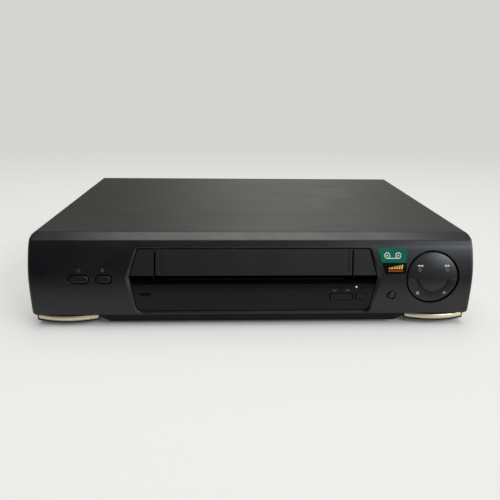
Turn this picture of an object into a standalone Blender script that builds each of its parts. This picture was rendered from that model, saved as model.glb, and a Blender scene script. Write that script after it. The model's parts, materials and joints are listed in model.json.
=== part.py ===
"""A home video cassette recorder, made piece by piece as it would come apart on a bench.

Lengths are in millimetres and become metres where a mesh is made. X runs along the front from
left to right, Y from the front to the back, and Z up. The origin is on the floor, under the
middle of the recorder. Depths on the front are counted from the fold, the line where the front
moulding meets the steel cover.
"""

from math import acos, atan2, cos, pi, radians, sin, tan

import bmesh
import bpy
from mathutils import Matrix, Vector

MM = 0.001
GAP = 0.3

# Case
HALF_WIDTH = 216.0
TOP = 90.0
FOLD = -124.5
REAR = 150.5
COVER_SIDE = 215.0
SHEET = 1.0
COVER_BEND = 2.2
COVER_FOOT = 7.0
PAN_SIDE = COVER_SIDE - SHEET - 0.4
PAN_BOTTOM = 6.0
PAN_TOP = 7.5
PAN_WALL = 1.2
PAN_REAR = 145.6
PANEL_FRONT = 144.0
PANEL_BACK = 145.2

# Front moulding: the face from the fold down to its lower edge, as (depth, height)
FACE = [(-0.3, 89.5), (-12.0, 85.5), (-16.5, 79.0), (-20.5, 70.0), (-24.0, 60.0),
        (-26.0, 51.5), (-27.0, 40.0), (-27.0, 16.0), (-26.2, 13.0)]
FACE_FOOT = 13.0
WALL = 2.4
CORNER = 3.0

# Six-sided recess in the front: half width and height of its corners, and its soft edge
RECESS = [(113.0, 78.3), (121.2, 51.4), (115.0, 15.7)]
RECESS_EDGE = [(114.2, 79.1), (124.4, 50.8), (117.4, 13.6)]
RECESS_RADII = (3.0, 2.5, 7.0)
BEVEL_DEPTH = 3.0
RETURN_WALL = 1.8
RETURN_BACK = -12.0

# Cassette mouth and door
DOOR_HALF = 95.4
DOOR_TOP = 77.4
DOOR_FOOT = 52.7
DOOR_LEAN = radians(15.1)
DOOR_PLANE = (-16.5, 78.3)
DOOR_THICK = 2.2
DOOR_PIN = (-15.9, 76.1)
MOUTH_HALF = 97.0
MOUTH_WALL = 1.6
SHELF = (44.3, 45.9)
MOUTH_BACK = 11.5
WINDOW_FOOT = 16.7
WINDOW_TOP = 44.0
WINDOW_FRONT = -25.2
WINDOW_BACK = -23.2

# Round transport disc, on a plane that leans with the face around it
DISC_CENTRE = (175.3, FOLD - 22.6, 50.5)
DISC_LEAN = radians(10.1)
DISC_RADIUS = 25.25
WELL_RADIUS = 26.6
WELL_FLOOR = -9.2
DISC_PROUD = 0.7
DOME_CURVE = 0.0012
TONGUE_RADIUS = 13.4
SCOOP_DEPTH = 1.6
PIVOT_LEVEL = -4.2

# Electronics
BOARD = (10.5, 12.1)
BOARD_TOP = BOARD[1] + GAP
FRONT_BOARD = (-9.5, -8.0)
SWITCH_TIP = -14.2

# Tape deck
DECK = (24.0, 25.2)
ON_DECK = DECK[1] + GAP
DECK_SIDE = 110.0
DECK_PINS = [(-92.0, -52.0), (92.0, -52.0)]
DECK_SCREWS = [(-92.0, 60.0), (92.0, 60.0)]
DECK_POSTS = DECK_PINS + DECK_SCREWS
REELS = [(-46.0, -3.0), (46.0, -3.0)]
IDLER_PIVOT = (0.0, -63.0)
DRUM = (0.0, 99.0)
DRUM_LEVEL = 34.0
DRUM_LEAN = radians(5.0)
DRUM_RADIUS = 31.0
POST_ORBIT = 40.0
CAPSTAN = (64.0, 64.0)
PINCH_PIVOT = (86.0, 58.0)
PINCH_REACH = 16.5
PINCH_ANGLE = radians(132.2)
TENSION_PIVOT = (-84.0, 64.0)
CAM = (-72.0, 108.0)
CAM_RADIUS = 17.6
WORM_LINE = (130.1, 34.2)

# Cassette holder and the carriage that draws it in
HOLDER_FRONT = -112.0
HOLDER_BACK = -22.0
HOLDER_SIDE = 96.6
HOLDER_FOOT = 45.6
HOLDER_TOP = 74.5
HOLDER_PINS = (-90.0, -50.0)
HOLDER_PIN_LEVEL = 60.0
SLIDER_PINS = (-80.0, -50.0)
SLIDER_PIN_LEVEL = 72.0
SLIDE_IN = 75.0
SLIDE_DOWN = 15.0
ARM = (97.6, 98.6)
SIDE_PLATE = (100.0, 101.5)

# Sockets on the back
SCART_X = 134.0
SCART_LEVELS = (21.0, 38.8)
AERIAL_X = (174.0, 194.0)
AERIAL_LEVEL = 30.0
PHONO_X = (176.0, 192.0)
PHONO_LEVEL = 57.0
AERIAL_PLATE = (141.6, 143.6)
AERIAL_END = 152.1
INLET = (-176.0, 22.0)

# Looks: colour, roughness, metal
LOOKS = {
    "cover_paint": ((0.060, 0.058, 0.053), 0.55, 0.0),
    "black_plastic": ((0.028, 0.029, 0.031), 0.42, 0.0),
    "matt_black": ((0.012, 0.012, 0.013), 0.60, 0.0),
    "smoked_plastic": ((0.014, 0.014, 0.015), 0.15, 0.0),
    "champagne": ((0.55, 0.50, 0.36), 0.30, 0.9),
    "zinc_steel": ((0.55, 0.55, 0.53), 0.38, 0.9),
    "polished_steel": ((0.72, 0.72, 0.72), 0.15, 1.0),
    "aluminium": ((0.70, 0.70, 0.72), 0.30, 1.0),
    "circuit_board": ((0.07, 0.16, 0.05), 0.50, 0.0),
    "paper_board": ((0.33, 0.21, 0.09), 0.60, 0.0),
    "white_plastic": ((0.70, 0.70, 0.66), 0.40, 0.0),
    "grey_plastic": ((0.25, 0.25, 0.26), 0.45, 0.0),
    "rubber": ((0.018, 0.018, 0.018), 0.85, 0.0),
    "glass": ((0.03, 0.05, 0.05), 0.08, 0.0),
    "brass": ((0.72, 0.55, 0.25), 0.30, 1.0),
    "green_label": ((0.01, 0.16, 0.10), 0.35, 0.0),
}


# Making and joining solids

def solid(points, faces):
    """An object from points in millimetres, its faces turned outwards."""
    mesh = bpy.data.meshes.new("piece")
    mesh.from_pydata([Vector(point) * MM for point in points], [], faces)
    work = bmesh.new()
    work.from_mesh(mesh)
    bmesh.ops.recalc_face_normals(work, faces=work.faces)
    work.to_mesh(mesh)
    work.free()
    piece = bpy.data.objects.new("piece", mesh)
    bpy.context.scene.collection.objects.link(piece)
    return piece


def loft(rings, closed=False):
    """A skin through rings of points, capped at both ends or joined into a loop."""
    count = len(rings[0])
    points = [point for ring in rings for point in ring]
    faces = []
    for index in range(len(rings) if closed else len(rings) - 1):
        here = index * count
        there = (index + 1) % len(rings) * count
        for i in range(count):
            j = (i + 1) % count
            faces.append((here + i, here + j, there + j, there + i))
    if not closed:
        faces.append(tuple(range(count)))
        faces.append(tuple(range(len(points) - count, len(points))))
    return solid(points, faces)


def plate(outline, axis, low, high):
    """An outline drawn across an axis, thickened along it from low to high."""
    def place(a, b, height):
        return {"X": (height, a, b), "Y": (a, height, b), "Z": (a, b, height)}[axis]
    return loft([[place(a, b, height) for a, b in outline] for height in (low, high)])


def rectangle(low_a, high_a, low_b, high_b):
    return [(low_a, low_b), (high_a, low_b), (high_a, high_b), (low_a, high_b)]


def block(x, y, z):
    return plate(rectangle(*x, *y), "Z", *z)


def front_block(x, depth, z):
    """A block whose depths are counted from the fold."""
    return block(x, (FOLD + depth[0], FOLD + depth[1]), z)


def turned(profile, centre, axis=(0, 0, 1), steps=16, closed=False):
    """A profile of (radius, height) points turned about an axis through centre."""
    turn = Vector((0, 0, 1)).rotation_difference(Vector(axis)).to_matrix()
    angles = [2 * pi * step / steps for step in range(steps)]
    rings = [[Vector(centre) + turn @ Vector((radius * cos(angle), radius * sin(angle), height))
              for angle in angles] for radius, height in profile]
    return loft(rings, closed)


def rod(start, end, radius, steps=12):
    run = Vector(end) - Vector(start)
    return turned([(radius, 0.0), (radius, run.length)], start, run, steps)


def tube(start, end, outer, inner, steps=16):
    run = Vector(end) - Vector(start)
    profile = [(inner, 0.0), (outer, 0.0), (outer, run.length), (inner, run.length)]
    return turned(profile, start, run, steps, closed=True)


def upright(place, low, high, radius, steps=12):
    """A post at a place on the plan."""
    return rod((*place, low), (*place, high), radius, steps)


def wire(path, radius, sides=5):
    """A thin round bar along a path of points."""
    rings = []
    for index, point in enumerate(path):
        ahead = Vector(path[min(index + 1, len(path) - 1)])
        behind = Vector(path[max(index - 1, 0)])
        frame = Vector((0, 0, 1)).rotation_difference((ahead - behind).normalized()).to_matrix()
        if index:
            twist = frame @ Vector((1, 0, 0))
            side = previous - previous.dot(frame @ Vector((0, 0, 1))) * (frame @ Vector((0, 0, 1)))
            turn = Vector((twist.dot(side), (frame @ Vector((0, 1, 0))).dot(side)))
            start = atan2(turn.y, turn.x)
        else:
            start = 0.0
        ring = [Vector(point) + frame @ Vector((radius * cos(start + 2 * pi * k / sides),
                                                radius * sin(start + 2 * pi * k / sides), 0.0))
                for k in range(sides)]
        previous = ring[0] - Vector(point)
        rings.append(ring)
    return loft(rings)


def combine(piece, tool, operation):
    """Join, cut or clip a piece with another one, which is used up."""
    modifier = piece.modifiers.new("combine", "BOOLEAN")
    modifier.operation = operation
    modifier.solver = "EXACT"
    modifier.object = tool
    shaped = piece.evaluated_get(bpy.context.evaluated_depsgraph_get())
    mesh = bpy.data.meshes.new_from_object(shaped)
    piece.modifiers.clear()
    spent = [piece.data, tool.data]
    piece.data = mesh
    bpy.data.objects.remove(tool)
    for old in spent:
        bpy.data.meshes.remove(old)
    return piece


def fuse(piece, *others):
    for other in others:
        combine(piece, other, "UNION")
    return piece


def carve(piece, *cutters):
    for cutter in cutters:
        combine(piece, cutter, "DIFFERENCE")
    return piece


def clip(piece, other):
    return combine(piece, other, "INTERSECT")


def group(pieces):
    """Separate solids that stay apart but share one object."""
    work = bmesh.new()
    for piece in pieces:
        mesh = piece.data
        work.from_mesh(mesh)
        bpy.data.objects.remove(piece)
        bpy.data.meshes.remove(mesh)
    mesh = bpy.data.meshes.new("group")
    work.to_mesh(mesh)
    work.free()
    joined = bpy.data.objects.new("group", mesh)
    bpy.context.scene.collection.objects.link(joined)
    return joined


def placed(piece, matrix):
    """Move a piece made at a local origin; the matrix is in millimetres."""
    scale = Matrix.Scale(MM, 4)
    piece.data.transform(scale @ matrix @ scale.inverted())
    return piece


# Outlines

def rounded(corners, steps=4):
    """An outline from (a, b, radius) corners, with an arc at each corner that has a radius."""
    outline = []
    for index, (a, b, radius) in enumerate(corners):
        here = Vector((a, b))
        if radius == 0:
            outline.append((a, b))
            continue
        back = (Vector(corners[index - 1][:2]) - here).normalized()
        ahead = (Vector(corners[(index + 1) % len(corners)][:2]) - here).normalized()
        half = acos(max(-1.0, min(1.0, back.dot(ahead)))) / 2
        centre = here + (back + ahead).normalized() * radius / sin(half)
        start = here + back * radius / tan(half) - centre
        end = here + ahead * radius / tan(half) - centre
        first = atan2(start.y, start.x)
        sweep = (atan2(end.y, end.x) - first + pi) % (2 * pi) - pi
        for step in range(steps + 1):
            angle = first + sweep * step / steps
            outline.append((centre.x + radius * cos(angle), centre.y + radius * sin(angle)))
    return outline


def rounded_rectangle(low_a, high_a, low_b, high_b, radius, steps=4):
    corners = rectangle(low_a, high_a, low_b, high_b)
    return rounded([(a, b, radius) for a, b in corners], steps)


def parallel(line, distance):
    """A line of points moved sideways to its left, with its corners mitred."""
    moved = []
    for index, point in enumerate(line):
        here = Vector(point)
        normals = []
        if index > 0:
            run = (here - Vector(line[index - 1])).normalized()
            normals.append(Vector((-run.y, run.x)))
        if index < len(line) - 1:
            run = (Vector(line[index + 1]) - here).normalized()
            normals.append(Vector((-run.y, run.x)))
        mitre = sum(normals, Vector((0, 0))).normalized()
        moved.append(tuple(here + mitre * distance / mitre.dot(normals[0])))
    return moved


def stretched(line, depth):
    """The same line with both ends drawn on straight to a given depth."""
    def reach(end, inner):
        share = (depth - inner[0]) / (end[0] - inner[0])
        return (depth, inner[1] + (end[1] - inner[1]) * share)
    return [reach(line[0], line[1])] + line[1:-1] + [reach(line[-1], line[-2])]


def face_depth(height):
    """Depth of the front face at a height."""
    for (depth_a, high), (depth_b, low) in zip(FACE, FACE[1:]):
        if low <= height <= high:
            return depth_b + (depth_a - depth_b) * (height - low) / (high - low)
    return FACE[0][0] if height > FACE[0][1] else FACE[-1][0]


def door_depth(height):
    """Depth of the door's plane at a height."""
    return DOOR_PLANE[0] - (DOOR_PLANE[1] - height) * tan(DOOR_LEAN)


def recess_half(height):
    """Half width of the recess at a height."""
    for (half_a, high), (half_b, low) in zip(RECESS, RECESS[1:]):
        if low <= height <= high:
            return half_b + (half_a - half_b) * (height - low) / (high - low)
    return RECESS[-1][0]


def recess_outline(corners, grow=0.0):
    """The six-sided outline, with points along its sides so that it can follow the face."""
    def between(first, second, share):
        return (first[0] + (second[0] - first[0]) * share, first[1] + (second[1] - first[1]) * share, 0)
    top, middle, foot = corners
    half = [(top[0] + grow, top[1] + grow, RECESS_RADII[0] + max(grow, -2.0)),
            between(top, middle, 0.35), between(top, middle, 0.7),
            (middle[0] + grow, middle[1], RECESS_RADII[1]),
            between(middle, foot, 0.4), (foot[0] + grow, foot[1] - grow, RECESS_RADII[2] + grow)]
    half = [(a + (grow if radius == 0 else 0), b, radius) for a, b, radius in half]
    return rounded(half + [(-a, b, radius) for a, b, radius in reversed(half)])


def face_section(inset, back_depth):
    """Section of everything behind the face, a given distance inside it."""
    line = FACE + [(FACE[0][0], FACE_FOOT)]
    section = stretched(parallel(line, inset), back_depth)
    return [(FOLD + depth, height) for depth, height in section]


def behind_face(half_width, inset, back_depth, centre=0.0):
    return plate(face_section(inset, back_depth), "X", centre - half_width, centre + half_width)


# Naming, colouring and placing nodes

PIVOTS = {}


def finish(name, piece, look, parent, pivot=(0.0, 0.0, 0.0)):
    """Give a piece its name, its material, its origin and its parent."""
    piece.name = name
    piece.data.name = name
    colour, roughness, metallic = LOOKS[look]
    material = bpy.data.materials.new(name)
    material.use_nodes = True
    shader = material.node_tree.nodes["Principled BSDF"]
    shader.inputs["Base Color"].default_value = (*colour, 1.0)
    shader.inputs["Roughness"].default_value = roughness
    shader.inputs["Metallic"].default_value = metallic
    piece.data.materials.clear()
    piece.data.materials.append(material)
    piece.data.shade_smooth()
    piece.data.set_sharp_from_angle(angle=radians(32))
    origin = Vector(pivot) * MM
    piece.data.transform(Matrix.Translation(-origin))
    piece.parent = parent
    piece.location = origin - PIVOTS[parent.name]
    PIVOTS[name] = origin
    return piece


# Steel case

def make_top_cover(case):
    inner = COVER_SIDE - SHEET
    roof = TOP - SHEET
    outline = rounded([(-COVER_SIDE, COVER_FOOT, 0), (-COVER_SIDE, TOP, COVER_BEND),
                       (COVER_SIDE, TOP, COVER_BEND), (COVER_SIDE, COVER_FOOT, 0),
                       (inner, COVER_FOOT, 0), (inner, roof, COVER_BEND - SHEET),
                       (-inner, roof, COVER_BEND - SHEET), (-inner, COVER_FOOT, 0)])
    cover = plate(outline, "Y", FOLD, REAR)
    slots = []
    for side in (-1, 1):
        for n in range(9):
            near = 48.0 + 8.0 * n
            across = sorted((side * (COVER_SIDE - 4), side * (COVER_SIDE + 4)))
            slots.append(block(across, (near, near + 3.0), (36.0, 58.0)))
    carve(cover, group(slots), group(cover_screw_rods(1.9)))
    finish("top_cover", cover, "cover_paint", case)


COVER_SCREW_PLACE = (20.0, 24.0)


def cover_screw_rods(radius):
    return [rod((side * 204.0, *COVER_SCREW_PLACE), (side * 220.0, *COVER_SCREW_PLACE), radius, 10)
            for side in (-1, 1)]


def make_cover_screws(case):
    profile = [(1.4, 0.0), (1.4, 8.3), (3.3, 8.3), (3.3, 8.7), (2.4, 9.0)]
    for name, side in (("cover_screw_left", -1), ("cover_screw_right", 1)):
        screw = turned(profile, (side * (HALF_WIDTH - 9.0), *COVER_SCREW_PLACE), (side, 0, 0), 10)
        finish(name, screw, "matt_black", case)


def make_bottom_pan(case):
    front = FOLD + GAP
    side_top = 38.0
    pan = block((-PAN_SIDE, PAN_SIDE), (front, PAN_REAR), (PAN_BOTTOM, side_top))
    inside = PAN_SIDE - PAN_WALL
    carve(pan, block((-inside, inside), (front + PAN_WALL, 160.0), (PAN_TOP, 50.0)),
          block((-inside, inside), (front - 5.0, front + 5.0), (20.0, 50.0)),
          block((-220.0, 220.0), (PANEL_FRONT - 0.4, 160.0), (PAN_TOP, 50.0)))
    posts = [upright(place, 6.6, DECK[0] - GAP, 4.0) for place in DECK_POSTS]
    bosses = [(-95, -110), (0, -100), (200, -110), (200, 85), (-95, 132), (60, 132),
              (-202, -112), (-110, -112), (-202, 132), (-110, 132)]
    posts += [upright(place, 6.6, BOARD[0] - GAP, 3.2, 8) for place in bosses]
    fuse(pan, group(posts))
    carve(pan, group([upright(place, 14.0, 30.0, 1.8, 8) for place in DECK_SCREWS]))
    fuse(pan, group([upright(place, 20.0, 26.6, 1.5, 8) for place in DECK_PINS]))
    vents = [block((-190.0 + 11.0 * n, -186.5 + 11.0 * n), (-60.0, -25.0), (5.0, 9.0)) for n in range(6)]
    vents += [block((130.0 + 11.0 * n, 133.5 + 11.0 * n), (-60.0, -25.0), (5.0, 9.0)) for n in range(6)]
    carve(pan, group(vents), group(cover_screw_rods(1.9)))
    finish("bottom_pan", pan, "zinc_steel", case)


def make_rear_panel(case):
    side, top = COVER_SIDE - SHEET - 0.6, TOP - SHEET - 0.4
    outline = rounded([(-side, PAN_TOP + GAP, 0), (side, PAN_TOP + GAP, 0), (side, top, 3.0), (-side, top, 3.0)], 2)
    panel = plate(outline, "Y", PANEL_FRONT, PANEL_BACK)
    through = (PANEL_FRONT - 3.0, PANEL_BACK + 3.0)
    cuts = [plate(rectangle(SCART_X - 23.0, SCART_X + 23.0, SCART_LEVELS[0] - 7.6, SCART_LEVELS[1] + 7.6),
                  "Y", *through)]
    cuts += [rod((x, through[0], AERIAL_LEVEL), (x, through[1], AERIAL_LEVEL), 6.6) for x in AERIAL_X]
    cuts += [rod((x, through[0], PHONO_LEVEL), (x, through[1], PHONO_LEVEL), 5.2) for x in PHONO_X]
    cuts.append(plate(rectangle(INLET[0] - 12.6, INLET[0] + 12.6, INLET[1] - 7.6, INLET[1] + 7.6), "Y", *through))
    cuts += [plate(rectangle(-196.0 + 7.0 * n, -192.5 + 7.0 * n, 56.0, 78.0), "Y", *through) for n in range(12)]
    carve(panel, group(cuts))
    finish("rear_panel", panel, "zinc_steel", case)


# Front moulding

def corner_cutter(side, half_width, line, radius):
    """What rounds a front corner, following the face from top to bottom."""
    line = [(line[0][0] + 2.0, line[0][1] + 2.0)] + line[1:-1] + [(line[-1][0], line[-1][1] - 4.0)]
    rings = []
    for depth, height in line:
        y = FOLD + depth
        arc = [(half_width - radius + radius * cos(angle), y + radius - radius * sin(angle))
               for angle in (pi / 2 * step / 4 for step in range(5))]
        ring = [(half_width + 3.0, y - 3.0), (half_width + 3.0, y + radius)] + arc
        ring += [(half_width - radius, y - 3.0)]
        rings.append([(side * x, depth_y, height) for x, depth_y in ring])
    return loft(rings)


def rounded_body(half_width, inset, back_depth, radius):
    body = behind_face(half_width, inset, back_depth)
    line = parallel(FACE, inset)
    return carve(body, corner_cutter(-1, half_width, line, radius), corner_cutter(1, half_width, line, radius))


def disc_frame():
    """Places a piece drawn about the disc's axis: across, up its slope, and out."""
    lean = Matrix(((1, 0, 0, 0), (0, sin(DISC_LEAN), -cos(DISC_LEAN), 0),
                   (0, cos(DISC_LEAN), sin(DISC_LEAN), 0), (0, 0, 0, 1)))
    return Matrix.Translation(DISC_CENTRE) @ lean


def recess_bevel():
    """The loop that cuts the soft edge of the recess."""
    edge = recess_outline(RECESS)
    outer = recess_outline(RECESS_EDGE)
    inner = recess_outline(RECESS, -3.0)
    rings = []
    for (bx, bz), (ax, az), (cx, cz) in zip(edge, outer, inner):
        low = Vector((bx, FOLD + face_depth(bz) + BEVEL_DEPTH, bz))
        rim = Vector((ax, FOLD + face_depth(az), az))
        front = FOLD + face_depth(bz) - BEVEL_DEPTH
        rings.append([low, low + (rim - low) * 1.3, (cx, front, cz), (cx, low.y, cz)])
    return loft(rings, closed=True)


POWER = (-178.3, -157.9)
EJECT = (-152.6, -136.4)
PILL = (45.5, 54.6)
TIMER = (135.7, 32.6)
CHANNEL = (74.6, 97.8, 27.4, 34.1)
RECORD = (100.7, 111.1, 27.8, 34.6)
DIRECT = (-111.1, -101.1, 32.7, 35.2)


def make_front_fascia(case):
    fascia = rounded_body(HALF_WIDTH, 0.0, -0.3, CORNER)
    carve(fascia, rounded_body(HALF_WIDTH - WALL, WALL, 5.0, CORNER - WALL))
    plug = plate(recess_outline(RECESS, RETURN_WALL), "Y", FOLD - 30.0, FOLD + RETURN_BACK)
    well = placed(turned([(28.2, WELL_FLOOR - 1.6), (28.2, 8.0)], (0, 0, 0), steps=40), disc_frame())
    fuse(fascia, clip(plug, behind_face(HALF_WIDTH - 20, 1.0, 5.0)),
         clip(well, behind_face(40.0, 1.0, 5.0, DISC_CENTRE[0])))
    skirt_section = [(-25.5, 14.5), (-26.2, 13.0), (-22.5, 4.0), (-20.3, 4.0), (-23.6, 13.0), (-23.4, 14.5)]
    skirt = plate([(FOLD + depth, height) for depth, height in skirt_section], "X", -160.0, 160.0)
    half_front = [(153.2, 15.0), (153.0, 13.0), (147.4, 6.4), (145.5, 3.0)]
    front = half_front + [(-x, z) for x, z in reversed(half_front)]
    fuse(fascia, clip(skirt, plate(front, "Y", FOLD - 40.0, FOLD)))
    carve(fascia, plate(recess_outline(RECESS), "Y", FOLD - 45.0, FOLD + 5.0), recess_bevel())
    high = WINDOW_TOP - 1.0
    ledge_half = [(recess_half(high) + 0.6, high, 0), (RECESS[2][0] + 0.6, RECESS[2][1] - 0.6, 7.0)]
    hollow_half = [(recess_half(high) - 1.8, high + 1.0, 0), (RECESS[2][0] - 1.8, RECESS[2][1] + 1.8, 6.0)]
    ledge = plate(rounded(ledge_half + mirrored(ledge_half)), "Y", FOLD - 22.9, FOLD - 21.3)
    fuse(fascia, carve(ledge, plate(rounded(hollow_half + mirrored(hollow_half)), "Y", FOLD - 30, FOLD - 15)))
    carve(fascia, placed(turned([(WELL_RADIUS, WELL_FLOOR), (WELL_RADIUS, 12.0)], (0, 0, 0), steps=40),
                         disc_frame()))
    post = rod((0, 0, WELL_FLOOR - 0.4), (0, 0, PIVOT_LEVEL + 1.3), 2.9)
    fuse(fascia, placed(fuse(post, diagonal_rod(1, -4.9, 4.9, 0.8)), disc_frame()))
    pills = [plate(rounded_rectangle(*ends, *PILL, 4.5), "Y", FOLD - 35.0, FOLD - 15.0) for ends in (POWER, EJECT)]
    timer = turned([(5.4, -1.0), (3.7, 0.9), (3.7, 6.0)], (TIMER[0], FOLD - 27.0, TIMER[1]), (0, 1, 0), 20)
    link = plate(rectangle(POWER[1] - 3.0, EJECT[0] + 3.0, PILL[0] + 0.2, PILL[1] - 0.2), "Y", FOLD - 35.0, FOLD - 15.0)
    carve(link, behind_face(20.0, 0.5, 5.0, (POWER[1] + EJECT[0]) / 2))
    carve(fascia, group(pills + [timer]), link)
    finish("front_fascia", fascia, "black_plastic", case)


def mirrored(corners):
    return [(-a, b, radius) for a, b, radius in reversed(corners)]


def diagonal_rod(slope, start, end, radius):
    """A pin across the disc's axis at the pivots' level; slope 1 rises to the right."""
    way = Vector((cos(radians(45)), slope * sin(radians(45)), 0))
    level = Vector((0, 0, PIVOT_LEVEL))
    return rod(level + way * start, level + way * end, radius, 8)


def make_slot_surround(case):
    low, high = SHELF
    outer = MOUTH_HALF + MOUTH_WALL
    shelf_half = [(recess_half(high) - 1.1, FOLD - 22.8), (recess_half(high) - 1.1, FOLD - 8.5),
                  (outer, FOLD - 8.5), (outer, FOLD + MOUTH_BACK)]
    shelf = plate(shelf_half + [(-x, y) for x, y in reversed(shelf_half)], "Z", low, high)
    fuse(shelf, front_block((-MOUTH_HALF - 0.5, MOUTH_HALF + 0.5), (-12.0, MOUTH_BACK), (low + 0.2, high + 0.6)))
    wall = [(door_depth(DOOR_FOOT) + 0.8, DOOR_FOOT), (-16.0, 77.9), (-11.5, 77.9), (-11.5, 80.4),
            (MOUTH_BACK, 80.4), (MOUTH_BACK, low), (-21.0, low)]
    wall = [(FOLD + depth, height) for depth, height in wall]
    fuse(shelf, front_block((-outer, outer), (-11.5, MOUTH_BACK), (78.9, 80.4)))
    for side in (-1, 1):
        fuse(shelf, plate(wall, "X", *sorted((side * MOUTH_HALF, side * outer))))
        half = [(MOUTH_HALF, DOOR_FOOT, 0), (recess_half(DOOR_FOOT) - 1.0, DOOR_FOOT, 0),
                (recess_half(DOOR_TOP) - 1.0, DOOR_TOP, 2.6), (MOUTH_HALF, DOOR_TOP, 0)]
        outline = [(side * x, z) for x, z in rounded(half)]
        fuse(shelf, loft([[(x, FOLD + door_depth(z) + back, z) for x, z in outline] for back in (0.0, DOOR_THICK)]))
        fuse(shelf, front_block(sorted((side * (outer - 0.4), side * 117.3)), (-10.0, -8.5), (low + 0.3, 80.4)),
             front_block(sorted((side * 90.0, side * (outer - 0.2))), (8.0, MOUTH_BACK), (ON_DECK, low + 0.4)))
        carve(shelf, rod((side * 95.0, FOLD + DOOR_PIN[0], DOOR_PIN[1]),
                         (side * 99.2, FOLD + DOOR_PIN[0], DOOR_PIN[1]), 1.15, 12))
    bracket = [(-15.2, low + 0.3), (-15.2, 38.2), (-20.8, 38.2), (-20.8, 36.6), (-15.2, 36.6), (-15.2, 24.2),
               (-20.8, 24.2), (-20.8, 22.6), (-13.8, 22.6), (-13.8, low + 0.3)]
    middle = (CHANNEL[0] + CHANNEL[1]) / 2
    fuse(shelf, plate([(FOLD + depth, height) for depth, height in bracket], "X", middle - 1.7, middle + 1.7))
    carve(shelf, rod((middle, FOLD - 19.0, 20.0), (middle, FOLD - 19.0, 40.0), 1.1, 10))
    stud = rod((-outer + 0.5, FOLD + SPRING[1], SPRING[2]), (SPRING[0] - 2.6, FOLD + SPRING[1], SPRING[2]), 1.2)
    finish("slot_surround", fuse(shelf, stud), "matt_black", case)


SPRING = (-101.0, -4.0, 71.0)


def make_door_spring(case):
    """A torsion spring on its stud beside the mouth, one leg up and one towards the door."""
    turns, points, radius = 3.5, 9, 2.2
    steps = int(turns * points)
    path = [(SPRING[0] + 2.0 - 4.0 * n / steps, FOLD + SPRING[1] + radius * cos(2 * pi * n / points),
             SPRING[2] + radius * sin(2 * pi * n / points)) for n in range(steps + 1)]
    first, last = path[0], path[-1]
    path.insert(0, (first[0], first[1], first[2] - 6.0))
    path.append((last[0], last[1] - 1.2, last[2] + 2.0))
    finish("door_spring", wire(path, 0.35), "polished_steel", case)


def make_display_window(case):
    half = [(recess_half(WINDOW_TOP) - 1.0, WINDOW_TOP, 1.0), (RECESS[2][0] - 1.0, WINDOW_FOOT, 6.2)]
    window = plate(rounded(half + mirrored(half)), "Y", FOLD + WINDOW_FRONT, FOLD + WINDOW_BACK)
    holes = [plate(rounded_rectangle(*hole, 1.2, 3), "Y", FOLD - 30.0, FOLD - 20.0)
             for hole in (CHANNEL, RECORD)]
    holes.append(plate(rounded_rectangle(*DIRECT, 0.6, 2), "Y", FOLD - 30.0, FOLD - 20.0))
    finish("display_window", carve(window, group(holes)), "smoked_plastic", case)


def make_fluorescent_display(case):
    glass = front_block((-38.0, 52.0), (-17.5, -11.5), (20.5, 41.0))
    holder = front_block((-33.0, 47.0), (-12.0, FRONT_BOARD[0] - GAP), (23.0, 38.0))
    tip = rod((51.5, FOLD - 14.5, 30.0), (55.0, FOLD - 14.5, 30.0), 1.6, 8)
    finish("fluorescent_display", fuse(glass, holder, tip), "glass", case)


def make_foot_trims(case):
    """Bright arcs on the front feet, with chamfered front edges."""
    for name, side in (("foot_trim_left", -1), ("foot_trim_right", 1)):
        low, high = TRIM_LEVELS
        rings = []
        for step in range(13):
            angle = (step / 6 - 1) * TRIM_SWEEP
            rings.append([foot_arc(side, radius, angle) + (level,) for radius, level in (
                (TRIM_RADIUS, low + 0.5), (TRIM_RADIUS, high - 0.7), (TRIM_RADIUS - 0.7, high),
                (TRIM_RADIUS - 1.5, high), (TRIM_RADIUS - 1.5, low), (TRIM_RADIUS - 0.5, low))])
        finish(name, loft(rings), "champagne", case)


TRIM_RADIUS = 75.4
TRIM_SWEEP = radians(23.0)
TRIM_LEVELS = (5.8, 10.5)
FOOT_X = 183.1
FOOT_ARC_CENTRE = 49.2
PAD_DEPTH = -3.0


def foot_arc(side, radius, angle):
    return (side * FOOT_X + radius * sin(angle), FOLD + FOOT_ARC_CENTRE - radius * cos(angle))


def foot_layer(side, radius, half_span, back_depth, levels):
    """A layer of a front foot: a bow in front and a straight back."""
    sweep = atan2(half_span, (radius ** 2 - half_span ** 2) ** 0.5)
    bow = [foot_arc(side, radius, -sweep + 2 * sweep * step / 10) for step in range(11)]
    back = [(side * FOOT_X + half_span, FOLD + back_depth), (side * FOOT_X - half_span, FOLD + back_depth)]
    return plate(bow + back, "Z", *levels)


def make_front_feet(case):
    for name, side in (("front_foot_left", -1), ("front_foot_right", 1)):
        foot = foot_layer(side, TRIM_RADIUS - 2.6, 29.4, 9.0, (4.4, PAN_BOTTOM - GAP))
        fuse(foot, foot_layer(side, TRIM_RADIUS - 1.8, 29.7, -1.0, (5.2, TRIM_LEVELS[1] + 0.2)),
             foot_layer(side, TRIM_RADIUS - 5.0, 28.2, -1.0, (9.0, FACE_FOOT - GAP)),
             turned([(10.4, 0.0), (11.0, 0.6), (11.0, 5.0)], (side * FOOT_X, FOLD + PAD_DEPTH, 0), steps=20))
        finish(name, foot, "matt_black", case)


def make_rear_feet(case):
    for name, side in (("rear_foot_left", -1), ("rear_foot_right", 1)):
        foot = turned([(9.5, 0.0), (11.0, 1.2), (11.0, PAN_BOTTOM - GAP)], (side * 172.0, 112.0, 0), steps=20)
        finish(name, foot, "rubber", case)


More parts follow.
